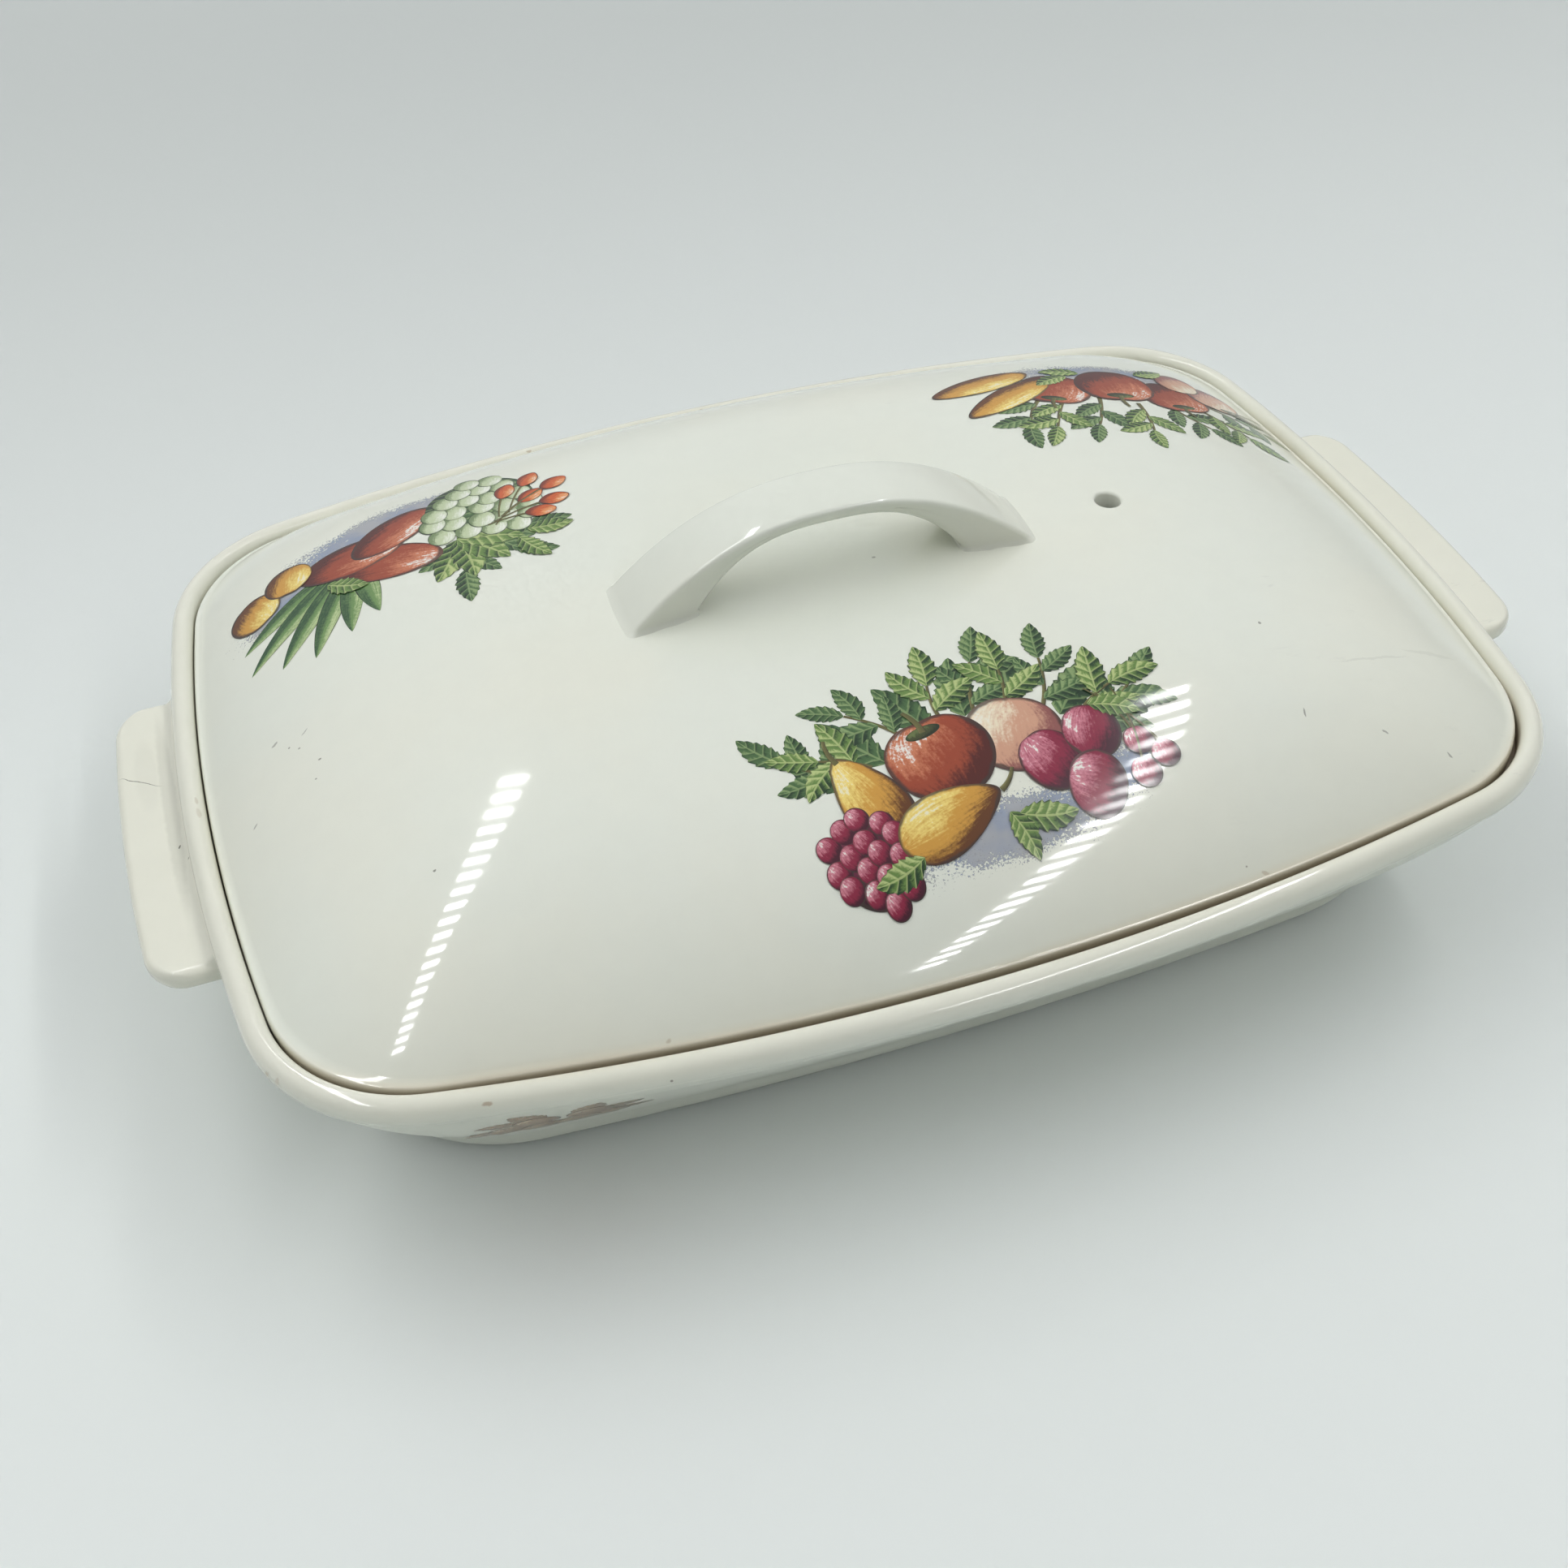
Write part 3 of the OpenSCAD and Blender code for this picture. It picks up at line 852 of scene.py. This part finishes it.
def add_marks(place, marks):
    """A mask of small marks: where each is, its half length and half width, its turn and its strength."""
    wander = noise(place, 420, 3, output=1)
    drift = calc("MULTIPLY_ADD", wander, (MARK_WANDER, MARK_WANDER, 0), place, kind="VectorMath")
    mask = 0
    for x, y, z, long, wide, turn, strength in marks:
        spot = put(tree_of(place), "Mapping", {"vector_type": "TEXTURE"}, Vector=drift,
                   Location=(x * MM + MARK_WANDER / 2, y * MM + MARK_WANDER / 2, z * MM),
                   Rotation=(0, 0, radians(turn)), Scale=(long * MM, wide * MM, (3 + long / 2) * MM))
        away = calc("LENGTH", spot.outputs[0], kind="VectorMath", output=1)
        mask = calc("MAXIMUM", mask, ramp(away, 0.65, 1.1, strength, 0))
    return mask


def glaze_material(name, glaze, warm, clay, specks, scuffs, seam_shade_behind, chips, scratches):
    """Glaze with its marks of use: chips show the brown clay, and scratches are dark; the dish's dark marks
    also hold a painted shade.

    Above the level of the lid's edge, the clay colour and painted shade of the seam are given fully at the
    front, and by a share behind.
    """
    material, tree, shader = new_material(name)
    place = put(tree, "TexCoord").outputs["Object"]
    _, depth, height = parts(place)
    front = ramp(depth, *SEAM_SHADE_FRONT, 1, seam_shade_behind)
    inner = ramp(height, seat_z + lid_edge_t / 2, lid_edge_z - lid_edge_round, 1, 0)
    bare = times(stored(tree, "bare"), calc("MAXIMUM", front, inner))
    tone = put(tree, "Group", {"node_tree": glaze_group}, Vector=place, Glaze=glaze, Warm=warm, Clay=clay,
               Bare=bare, Specks=specks, Scuffs=scuffs).outputs
    chipped = add_marks(place, chips)
    colour = blend(chipped, tone["Color"], BROWN_CHIP)
    colour = blend(add_marks(place, scratches), colour, DARK_SCRATCH_AND_SHADE)
    coat(shader, colour, plus(tone["Roughness"], times(chipped, 0.5)), tone["Height"])
    return material


# The printed fruit

PRINT_LIFT = 0.01 * MM
PRINT_STEP = 0.004 * MM
# From where the printed fruit is lit: from the left, from above, and from in front
PRINT_LIGHT = Vector((-0.5, 0.55, 0.67)).normalized()
# A patch is one printed picture: where it lies, its turn and size, and the surface that carries it
Patch = namedtuple("Patch", "name slot centre turn size lay pieces")


def on_lid(spot, lift):
    return Vector((spot.x, spot.y, dome_height(spot.x, spot.y) + lift))


def on_front_wall(spot, lift):
    """A spot given by its place along the dish and its height, on the outside of the front wall."""
    form = wall_form(spot.y)
    return Vector((spot.x, form.side_r - form.half_w - sqrt(form.side_r**2 - spot.x**2) - lift, spot.y))


def lay_sheet(patch, paint, columns, rows, draw):
    """A thin grid laid on the glaze. Later sheets lie over earlier ones."""
    lift = PRINT_LIFT + PRINT_STEP * len(patch.pieces)
    turn = Matrix.Rotation(patch.turn, 2)
    bpy.ops.mesh.primitive_grid_add(x_subdivisions=columns, y_subdivisions=rows, size=2)
    piece = bpy.context.object
    bpy.ops.object.mode_set(mode="EDIT")
    mesh = bmesh.from_edit_mesh(piece.data)
    brush = mesh.verts.layers.float_vector.new("brush")
    shade = mesh.verts.layers.float.new("shade")
    for corner in mesh.verts:
        spot, corner[brush], corner[shade] = draw(*corner.co.xy)
        corner.co = patch.lay(patch.centre + turn @ spot * MM * patch.size, lift)
    bmesh.update_edit_mesh(piece.data)
    bpy.ops.object.mode_set(mode="OBJECT")
    patch.pieces.append((paint, piece))


def round_grid(a, b):
    """Where a spot of a square grid goes on a disc: how far out, and in which direction."""
    if abs(a) >= abs(b):
        return abs(a), (radians(45) * b / a if a else 0) + (pi if a < 0 else 0)
    return abs(b), radians(90) - radians(45) * a / b + (pi if b < 0 else 0)


def lay_fruit(patch, paint, x, y, width, height, turn=0, neck=0, dimple=0, point=0):
    """A rounded fruit: a neck narrows its top, a dimple sinks it, and a point draws out both ends."""
    tilt = Matrix.Rotation(radians(turn), 2)

    def draw(a, b):
        out, angle = round_grid(a, b)
        upward = sin(angle)
        reach = 1 - dimple * exp(-((cos(angle) / 0.3) ** 2)) * (1 if upward > 0 else 0.4)
        reach += point * abs(upward) ** 9
        slim = 1 - neck * ((1 + upward * out) / 2) ** 1.6
        spot = out * reach * Vector((cos(angle) * slim * width / 2, upward * height / 2))
        facing = tilt @ Vector((cos(angle), upward)) * out * 0.98
        ball = Vector((facing.x, facing.y, sqrt(1 - facing.length_squared)))
        meridian = out * cos(angle) / sqrt(1.02 - (out * upward) ** 2)
        brush = Vector((meridian, out * upward, out))
        return Vector((x, y)) + tilt @ spot, brush, ball.dot(PRINT_LIGHT)

    count = max(12, min(34, round(max(width, height) * 1.4)))
    lay_sheet(patch, paint, count, count, draw)


def on_spine(x, y, length, turn, bend, share):
    """A spot on a line that grows from a spot and bends on its way, and which way it runs there."""
    start = radians(turn)
    curve = radians(bend) or 0.001
    angle = start + curve * share
    spine = Vector((sin(angle) - sin(start), cos(start) - cos(angle)))
    return Vector((x, y)) + spine * length / curve, angle


def lay_blade(patch, paint, x, y, length, turn, bend, half_width, columns=34, rows=8):
    """A strip along a bent line, folded a little in its middle. half_width gives its form."""

    def draw(a, b):
        along = (a + 1) / 2
        spot, angle = on_spine(x, y, length, turn, bend, along)
        aside = Vector((-sin(angle), cos(angle)))
        fold = copysign(0.35 + 0.25 * abs(b), b) if b else 0
        light = 0.45 + fold * aside.dot(PRINT_LIGHT.xy)
        return spot + aside * half_width(along) * b, Vector((b, along, abs(b))), light

    lay_sheet(patch, paint, columns, rows, draw)


def lay_leaf(patch, x, y, length, width, turn, bend=25, teeth=7, paint="leaf"):
    """A leaf with a toothed edge: each tooth swells slowly towards the tip and ends sharply."""

    def half_width(along):
        tooth = along * teeth % 1
        return width / 2 * sin(pi * along**0.85) ** 0.8 * (0.86 + 0.24 * tooth)

    lay_blade(patch, paint, x, y, length, turn, bend, half_width)


def lay_stem(patch, x, y, length, turn, bend, thick):
    """A stem that thins towards its end."""

    def half_width(along):
        return thick / 2 * (1.4 - 0.6 * along)

    lay_blade(patch, "stem", x, y, length, turn, bend, half_width, 20, 2)


chance = random.Random(7)


def sway(limit):
    return chance.uniform(-limit, limit)


def lay_twig(patch, x, y, length, turn, bend, count, size, paint="leaf"):
    """A twig with leaves on both its sides and one at its tip."""
    lay_stem(patch, x, y, length, turn, bend, 0.9)
    for i in range(count):
        spot, angle = on_spine(x, y, length, turn, bend, (i + 1) / count)
        lean = 0 if i == count - 1 else 50 if i % 2 else -50
        long = size * chance.uniform(0.85, 1.1)
        lay_leaf(patch, *spot, long, long * 0.46, degrees(angle) + lean, sway(30), paint=paint)


def lay_bunch(patch, paint, ground, x, y, counts, size, turn=0):
    """Rows of berries that hang from a spot over their dark ground."""
    tilt = Matrix.Rotation(radians(turn), 2)
    tall = (len(counts) - 1) * size * 0.74
    middle = Vector((x, y)) + tilt @ Vector((0, -tall / 2))
    lay_fruit(patch, ground, *middle, max(counts) * size * 0.8, tall + size * 0.4, turn)
    for row, count in enumerate(counts):
        for i in range(count):
            jitter = Vector((sway(1), sway(1))) * size * 0.1
            spot = Vector(((i - (count - 1) / 2) * size * 0.86, -row * size * 0.74)) + jitter
            place = Vector((x, y)) + tilt @ spot
            lay_fruit(patch, paint, *place, size, size * 1.04, turn)


def lay_apple(patch, x, y, width, turn):
    """An apple with its stem in the dimple."""
    lay_fruit(patch, "brick", x, y, width, width * 0.93, turn, neck=-0.1, dimple=0.09)
    lean = radians(turn + 90)
    top = Vector((x, y)) + Vector((cos(lean), sin(lean))) * width * 0.3
    lay_fruit(patch, "hollow", *top, width * 0.36, width * 0.13, turn)
    lay_stem(patch, *top, width * 0.3, turn + 80, 35, width * 0.05)


def print_front(patch):
    """Pears, an apple, a peach, plums, cherries and grapes."""
    lay_fruit(patch, "shadow", 4, -17, 92, 24)
    lay_fruit(patch, "shadow", 35, -13, 38, 20, 12)
    for x, y, turn in (
        (-24, 4, 148), (-18, 8, 128), (-4, 12, 108), (6, 14, 84), (18, 12, 72), (28, 6, 44), (36, 0, 24),
    ):
        lay_leaf(patch, x, y, 21, 10, turn, sway(20), 8, "deep_leaf")
    for twig in (
        (-24, 6, 20, 160, -25), (-10, 12, 18, 118, 25), (8, 12, 20, 78, -20), (24, 8, 19, 52, 25),
        (32, 0, 20, 18, 20),
    ):
        lay_twig(patch, *twig, 4, 14, "deep_leaf")
    for twig in ((-22, 8, 13, 140, 20), (0, 14, 13, 95, -25), (16, 12, 14, 60, 20), (32, 4, 14, 38, -20)):
        lay_twig(patch, *twig, 3, 15)
    lay_fruit(patch, "peach", 15, 5, 25, 23, -20, dimple=0.06)
    lay_apple(patch, -5, 5, 27, 8)
    lay_fruit(patch, "gold", -26, 0, 19, 28, 16, neck=0.5)
    lay_stem(patch, -29.5, 12, 8, 112, -40, 1.1)
    lay_bunch(patch, "crimson", "dusk", -36, -6, (3, 4, 4, 3, 2), 6.2, 28)
    lay_fruit(patch, "gold", -10, -11, 18, 29, -78, neck=0.5)
    lay_stem(patch, 4.5, -8.5, 7, 22, 40, 1.1)
    for plum in ((20, -5, 16, 17, 22), (33, -1, 15, 16, -18), (28, -14, 17, 15, 60)):
        lay_fruit(patch, "crimson", *plum, dimple=0.05)
    for x, y, size, stem, turn, bend in (
        (43, -7, 8, 17, 95, 30), (41, -15, 8, 22, 70, 25), (48, -12, 7.5, 20, 105, 20),
    ):
        lay_stem(patch, x, y + size * 0.3, stem, turn, bend, 0.55)
        lay_fruit(patch, "crimson", x, y, size, size * 0.95, dimple=0.05)
    for leaf in (
        (-20, -17, 14, 6.5, 205, -30), (6, -15, 15, 7, -28, 30), (4, -14, 12, 6, -68, -20),
        (36, 6, 13, 6.5, -12, -30),
    ):
        lay_leaf(patch, *leaf)


def print_back_left(patch):
    """Pale grapes, plums, apricots and rose hips among long leaves."""
    lay_fruit(patch, "shadow", 2, -15, 88, 22)
    lay_fruit(patch, "shadow", 28, -6, 40, 24, -15)
    for turn, length in ((4, 34), (17, 38), (30, 36), (43, 34), (57, 28), (72, 24)):
        lay_leaf(patch, 8, -6, length, 6.2, turn, 14, 1, "blade")
    for turn in (70, 108, 146):
        lay_twig(patch, -14, 4, 15, turn, sway(25), 3, 13, "deep_leaf")
    for turn in (60, 92, 124, 156, 188):
        lay_leaf(patch, -12, 6, 16, 8, turn, sway(25))
    for plum in ((4, 2, 13, 25, 62), (10, -7, 13, 25, 76), (-2, -9, 12.5, 23, 104)):
        lay_fruit(patch, "brick", *plum, point=0.05)
    lay_bunch(patch, "pale", "deep_leaf", -18, 6, (4, 5, 5, 4, 3, 2), 6.6, -24)
    for apricot in ((34, -11, 13, 12.5, 15), (24, -14, 12, 11.5, -25)):
        lay_fruit(patch, "gold", *apricot, dimple=0.07)
    for x, y, stem, turn in (
        (-34, 0, 14, 20), (-38, 5, 16, -8), (-33, 8, 13, -20), (-41, -2, 18, 12), (-37, -8, 16, 40),
        (-30, -6, 12, 50),
    ):
        lay_stem(patch, x, y, stem, turn, 18, 0.5)
        lay_fruit(patch, "orange", x, y, 5, 6.6, turn + 90, point=0.15)
    for x, y, turn in ((-27, 13, 150), (-24, 15, 95), (18, -2, 120)):
        lay_leaf(patch, x, y, 11, 5.5, turn)


def print_back_right(patch):
    """Apples and long yellow pears on leafy twigs."""
    lay_fruit(patch, "shadow", 0, -14, 86, 20)
    for x, y, turn in ((-28, -2, 158), (-14, 2, 118), (4, 2, 84), (20, 2, 58)):
        lay_twig(patch, x, y, 15, turn, sway(25), 4, 11, "deep_leaf")
    for x, y, turn in ((-24, 2, 138), (-6, 4, 100), (14, 3, 68)):
        lay_twig(patch, x, y, 15, turn, sway(25), 4, 11)
    for apple in ((-18, -3, 19, 12), (15, -3, 19, -14), (-2, -6, 21, 2)):
        lay_apple(patch, *apple)
    for pear in ((28, 1, 11, 30, -52), (34, -8, 11, 29, -66)):
        lay_fruit(patch, "gold", *pear, neck=0.3, point=0.04)
    for peach in ((-31, -9, 15, 14, -10), (-22, -14, 13, 12, 25)):
        lay_fruit(patch, "peach", *peach, dimple=0.06)
    for turn, bend in ((172, 20), (184, -25), (196, 15), (160, 30)):
        lay_stem(patch, -32, -4, 16, turn, bend, 0.6)
    for x, y, turn in ((6, -13, -20), (10, -11, 20), (-10, -15, 200)):
        lay_leaf(patch, x, y, 11, 5.5, turn)


def print_front_wall(patch):
    """Hazelnuts and dry leaves."""
    lay_fruit(patch, "shadow", 1, -9, 34, 9)
    for x, y, turn in ((-7, 3, 160), (-9, -4, 178), (-4, 5, 120), (3, 5, 58), (7, 3, 18), (9, -3, 2)):
        lay_leaf(patch, x, y, 11, 7, turn, 20, 6, "dry_leaf")
    for x, y, turn in ((-10, -5, 30), (10, -6, -24), (-5, 2, 18), (6, 3, -14), (-3, -8, 0), (4, -7, 6)):
        lay_fruit(patch, "nut", x, y, 10, 10.5, turn, point=0.1)
        lay_fruit(patch, "nut_cap", x, y - 3.8, 7, 2.4, turn)


def dress_patch(patch):
    """Joins a patch's sheets ink by ink."""
    for ink in sorted({paint for paint, piece in patch.pieces}):
        sheets = [piece for paint, piece in patch.pieces if paint == ink]
        pick(*sheets)
        if len(sheets) > 1:
            bpy.ops.object.join()
        sheets[0].name = patch.name + "_" + ink
        sheets[0].data.name = sheets[0].name
        bpy.ops.object.shade_smooth()
        dress(sheets[0], inks[ink])


# The room

# The table's colour in front of the dish and, darkened as painted shade, behind it, and where it turns from
# one to the other
TABLE_NEAR = (0.75, 0.785, 0.765, 1)
TABLE_FAR_SHADED = (0.56, 0.59, 0.575, 1)
TABLE_FALL = (-0.1, 0.6)


def make_floor():
    bpy.ops.mesh.primitive_plane_add(size=6)
    floor = bpy.context.object
    floor.name = "floor"
    material, tree, shader = new_material("pale_table")
    back = parts(put(tree, "TexCoord").outputs["Object"])[1]
    tone = blend(ramp(back, *TABLE_FALL), TABLE_NEAR, TABLE_FAR_SHADED)
    feed(shader, Base_Color=tone, Roughness=0.7, Specular_IOR_Level=0.2)
    floor.data.materials.append(material)


ROOM_COLOUR = (0.96, 0.985, 1, 1)
# How light the room is all round, how much lighter overhead, and how much lighter behind
ROOM_AROUND = 0.15
ROOM_OVERHEAD = 0.69
ROOM_BEHIND = 0.3
# The least light that comes from anywhere
ROOM_LEAST = 0.05
# The pale backdrop that other views show beyond the table
BACKDROP = 0.6
# The ceiling between the strip lights is a little darker: the planes on both its sides, and by how much
BAY_SIDES = ((0.80, -0.40, 0.44), (-0.87, 0.08, 0.48))
BAY_SHARE = 0.84
# Two strip lights on the ceiling: power, both ends, width and number of louvres
STRIP_LIGHTS = (
    ("strip_left", 9.5, (-0.24, 1.19, 1.5), (-1.17, -0.68, 1.5), 0.12, 20),
    ("strip_right", 13, (0.88, 0.51, 1.5), (0.60, -2.49, 1.5), 0.09, 21),
)
# How much more of each strip light the glaze mirrors than lights the object
GLARE = 2.5


def make_strip_light(name, power, start, end, width, louvres, glare=False):
    """A long ceiling lamp whose louvres break it into bright slats. Glare is only mirrored."""
    start, end = Vector(start), Vector(end)
    lamp = bpy.data.lights.new(name, "AREA")
    lamp.shape = "RECTANGLE"
    lamp.size = (end - start).length
    lamp.size_y = width
    lamp.energy = power
    lamp.use_nodes = True
    tree = lamp.node_tree
    along = parts(put(tree, "NewGeometry").outputs["Parametric"])[0]
    slat = calc("FRACT", times(along, louvres))
    feed(tree.nodes["Emission"], Strength=ramp(slat, 0.4, 0.5, 2, 0.05))
    stand = bpy.data.objects.new(name, lamp)
    stand.location = (start + end) / 2
    stand.rotation_euler = (0, 0, atan2(end.y - start.y, end.x - start.x))
    stand.visible_diffuse = not glare
    bpy.context.collection.objects.link(stand)


def make_light():
    """A pale room, lighter overhead and behind than in front, and two strip lights with louvres."""
    world = bpy.data.worlds.new("room")
    bpy.context.scene.world = world
    world.use_nodes = True
    tree = world.node_tree
    direction = put(tree, "TexCoord").outputs["Generated"]
    bay = 1
    for side in BAY_SIDES:
        beyond = calc("DOT_PRODUCT", direction, side, kind="VectorMath", output=1)
        bay = times(bay, ramp(beyond, -0.03, 0.03))
    _, behind, above = parts(direction)
    light = plus(times(calc("MAXIMUM", above, 0), ROOM_OVERHEAD), times(behind, ROOM_BEHIND))
    light = times(plus(light, ROOM_AROUND), ramp(bay, 0, 1, 1.05, BAY_SHARE))
    seen = times(put(tree, "LightPath").outputs["Is Camera Ray"], BACKDROP)
    strength = calc("MAXIMUM", light, calc("MAXIMUM", seen, ROOM_LEAST))
    feed(tree.nodes["Background"], Color=ROOM_COLOUR, Strength=strength)
    for name, power, *shape in STRIP_LIGHTS:
        make_strip_light(name, power, *shape)
        make_strip_light(name + "_glare", power * GLARE, *shape, glare=True)


# The camera stands where the photograph was taken from, in front and above, a little to the left
CAMERA_AZIMUTH = radians(-17.21)
CAMERA_ELEVATION = radians(43.98)
CAMERA_DISTANCE = 0.42083
CAMERA_ROLL = radians(-2.54)
CAMERA_AIM = Vector((-0.02504, -0.04226, dish_height))
CAMERA_LENS = 42.98


def make_camera():
    camera = bpy.data.objects.new("camera", bpy.data.cameras.new("camera"))
    level_way = cos(CAMERA_ELEVATION)
    way = Vector((level_way * sin(CAMERA_AZIMUTH), -level_way * cos(CAMERA_AZIMUTH), sin(CAMERA_ELEVATION)))
    camera.location = CAMERA_AIM + way * CAMERA_DISTANCE
    look = (-way).to_track_quat("-Z", "Y") @ Quaternion((0, 0, 1), CAMERA_ROLL)
    camera.rotation_euler = look.to_euler()
    camera.data.lens = CAMERA_LENS
    camera.data.sensor_width = 36
    camera.data.clip_start = 0.01
    bpy.context.collection.objects.link(camera)
    bpy.context.scene.camera = camera


make_camera()
make_floor()
make_light()
bpy.context.scene.view_settings.view_transform = "Standard"

# Marks, each by its place, half length, half width, turn in plan, and strength
RIM_CHIPS = (
    (-147, -81, 57, 1.2, 0.5, -40, 0.5), (-145, -84, 57, 0.8, 0.4, -40, 0.4),
    (-107, -104.5, 56.7, 1.2, 0.35, -8, 0.7), (-88, 103, 57, 0.9, 0.5, 10, 0.7),
    (-48, 109, 57, 0.8, 0.4, 5, 0.7), (3, 111, 57, 0.7, 0.4, 0, 0.6), (153, 26, 57, 0.5, 0.7, 0, 0.8),
    (-151, 0, 57, 0.5, 1.3, 0, 0.3), (-151, -4, 57, 0.6, 1.8, 0, 0.25),
    (-139.5, -92.5, 55.5, 1.8, 0.3, -50, 0.4), (-134, -97.5, 55, 1.4, 0.3, -35, 0.35),
)
DISH_SCRATCHES_AND_SHADE = (
    (-163.6, 18.3, 51.5, 6.4, 0.12, -34, 0.8), (-157, -7, 51.5, 0.6, 0.3, 60, 0.9),
    (-155, -13, 51.5, 0.4, 0.3, 0, 0.8), (-153, 24, 51.5, 0.4, 0.3, 0, 0.7),
    # The second mark on the next line is painted shade in the corner where the left lug meets the rim
    (-162, 20, 51, 3, 14, 0, 0.05), (-157.6, 6, 52, 2.1, 36, 0, 0.13),
)
LID_CHIPS = ((62, -103.5, 55, 1.2, 0.4, -6, 0.5), (-70, -102.5, 55, 0.9, 0.4, 6, 0.4))
LID_SCRATCHES = (
    (-131, 0, 68, 0.9, 0.35, 30, 0.5), (-124, -2, 72, 1, 0.2, 40, 0.45), (-128, -4, 70, 0.3, 0.3, 0, 0.6),
    (-126, -6, 71, 0.3, 0.3, 0, 0.5), (-122, -13, 72, 0.4, 0.3, 20, 0.7), (-124, -18, 72, 0.3, 0.3, 0, 0.6),
    (-139, -19, 63, 0.8, 0.25, 35, 0.5), (-105, -58, 75, 0.35, 0.35, 0, 0.7),
    (12, -2, 83, 0.5, 0.35, 0, 0.5), (86, -52, 79, 0.35, 0.5, 0, 0.6), (84, -77, 74, 0.25, 1.1, -10, 0.6),
    (101, -84, 68, 0.8, 0.3, -35, 0.5), (115, -90, 62, 0.9, 0.35, -45, 0.5),
    (108, -66, 72, 11, 0.35, 2, 0.1), (124, -64, 67, 9, 0.6, -4, 0.08),
)

dish_glaze = glaze_material(
    "dish_glaze", (0.765, 0.762, 0.662, 1), (0.745, 0.742, 0.635, 1), (0.56, 0.46, 0.33, 1), 0.8, 0.35, 0.4,
    RIM_CHIPS, DISH_SCRATCHES_AND_SHADE
)
# The lid's clay colour is dark grey-brown: on its edge it is painted shade of the gap at the rim
lid_glaze = glaze_material(
    "lid_glaze", (0.75, 0.775, 0.692, 1), (0.77, 0.777, 0.677, 1), (0.27, 0.24, 0.17, 1), 0.7, 0.3, 0.3,
    LID_CHIPS, LID_SCRATCHES
)

for piece in (make_dish(), make_lug("lug_right", 1), make_lug("lug_left", -1)):
    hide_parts("dish")
    dress(piece, dish_glaze)
for piece in (make_lid(), make_handle()):
    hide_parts("lid")
    dress(piece, lid_glaze)

DARK_LINE = (0.045, 0.03, 0.025, 1)
LEAF_LINE = (0.014, 0.035, 0.014, 1)
# Each ink: its light, middle, dark and outline colours, how much it gleams, and a leaf's veins
INKS = (
    ("leaf", (0.46, 0.54, 0.22), (0.13, 0.23, 0.055), (0.015, 0.045, 0.015), LEAF_LINE, 0, 6),
    ("deep_leaf", (0.24, 0.34, 0.14), (0.06, 0.13, 0.045), (0.012, 0.035, 0.015), LEAF_LINE, 0, 6),
    ("blade", (0.50, 0.60, 0.30), (0.14, 0.26, 0.08), (0.02, 0.07, 0.025), LEAF_LINE, 0.6, 0),
    ("dry_leaf", (0.58, 0.42, 0.27), (0.34, 0.19, 0.09), (0.12, 0.06, 0.03), DARK_LINE, 0, 6),
    ("stem", (0.36, 0.33, 0.14), (0.13, 0.12, 0.04), (0.05, 0.04, 0.02), DARK_LINE, 0.6, 0),
    ("brick", (0.58, 0.20, 0.10), (0.31, 0.055, 0.022), (0.085, 0.013, 0.009), DARK_LINE, 0.9, 0),
    ("hollow", (0.12, 0.16, 0.05), (0.05, 0.06, 0.02), (0.02, 0.025, 0.01), LEAF_LINE, 0, 0),
    ("crimson", (0.62, 0.22, 0.28), (0.24, 0.014, 0.045), (0.055, 0.005, 0.018), DARK_LINE, 1, 0),
    ("dusk", (0.15, 0.02, 0.05), (0.08, 0.008, 0.025), (0.03, 0.004, 0.012), DARK_LINE, 0, 0),
    ("gold", (0.85, 0.68, 0.20), (0.60, 0.31, 0.05), (0.12, 0.04, 0.009), DARK_LINE, 0.6, 0),
    ("peach", (0.80, 0.70, 0.52), (0.60, 0.33, 0.22), (0.26, 0.09, 0.08), DARK_LINE, 0.6, 0),
    ("pale", (0.74, 0.78, 0.66), (0.50, 0.58, 0.36), (0.17, 0.24, 0.11), LEAF_LINE, 0.9, 0),
    ("orange", (0.75, 0.33, 0.12), (0.56, 0.10, 0.02), (0.20, 0.03, 0.01), DARK_LINE, 0.7, 0),
    ("nut", (0.60, 0.42, 0.26), (0.36, 0.19, 0.09), (0.12, 0.055, 0.03), DARK_LINE, 0.6, 0),
    ("nut_cap", (0.62, 0.50, 0.36), (0.42, 0.30, 0.19), (0.20, 0.12, 0.07), DARK_LINE, 0, 0),
)
inks = {"shadow": shadow_material()}
for name, *tones, line, gleam, veins in INKS:
    inks[name] = print_material(name, *((*tone, 1) for tone in tones), line, gleam, veins)

# Each printed picture: what draws it, its name, its slot, its middle, its turn, its size and its surface
PRINTS = (
    (print_front, "front_print", "lid_glaze", (0.0065, -0.0720), 4, 0.87, on_lid),
    (print_back_left, "back_left_print", "lid_glaze", (-0.092, 0.0470), 193, 1.04, on_lid),
    (print_back_right, "back_right_print", "lid_glaze", (0.098, 0.0470), 168, 1, on_lid),
    (print_front_wall, "wall_print", "dish_glaze", (-0.093, 0.0335), 0, 1, on_front_wall),
)
for draw_print, name, slot, centre, turn, size, lay in PRINTS:
    patch = Patch(name, slot, Vector(centre), radians(turn), size, lay, [])
    draw_print(patch)
    dress_patch(patch)
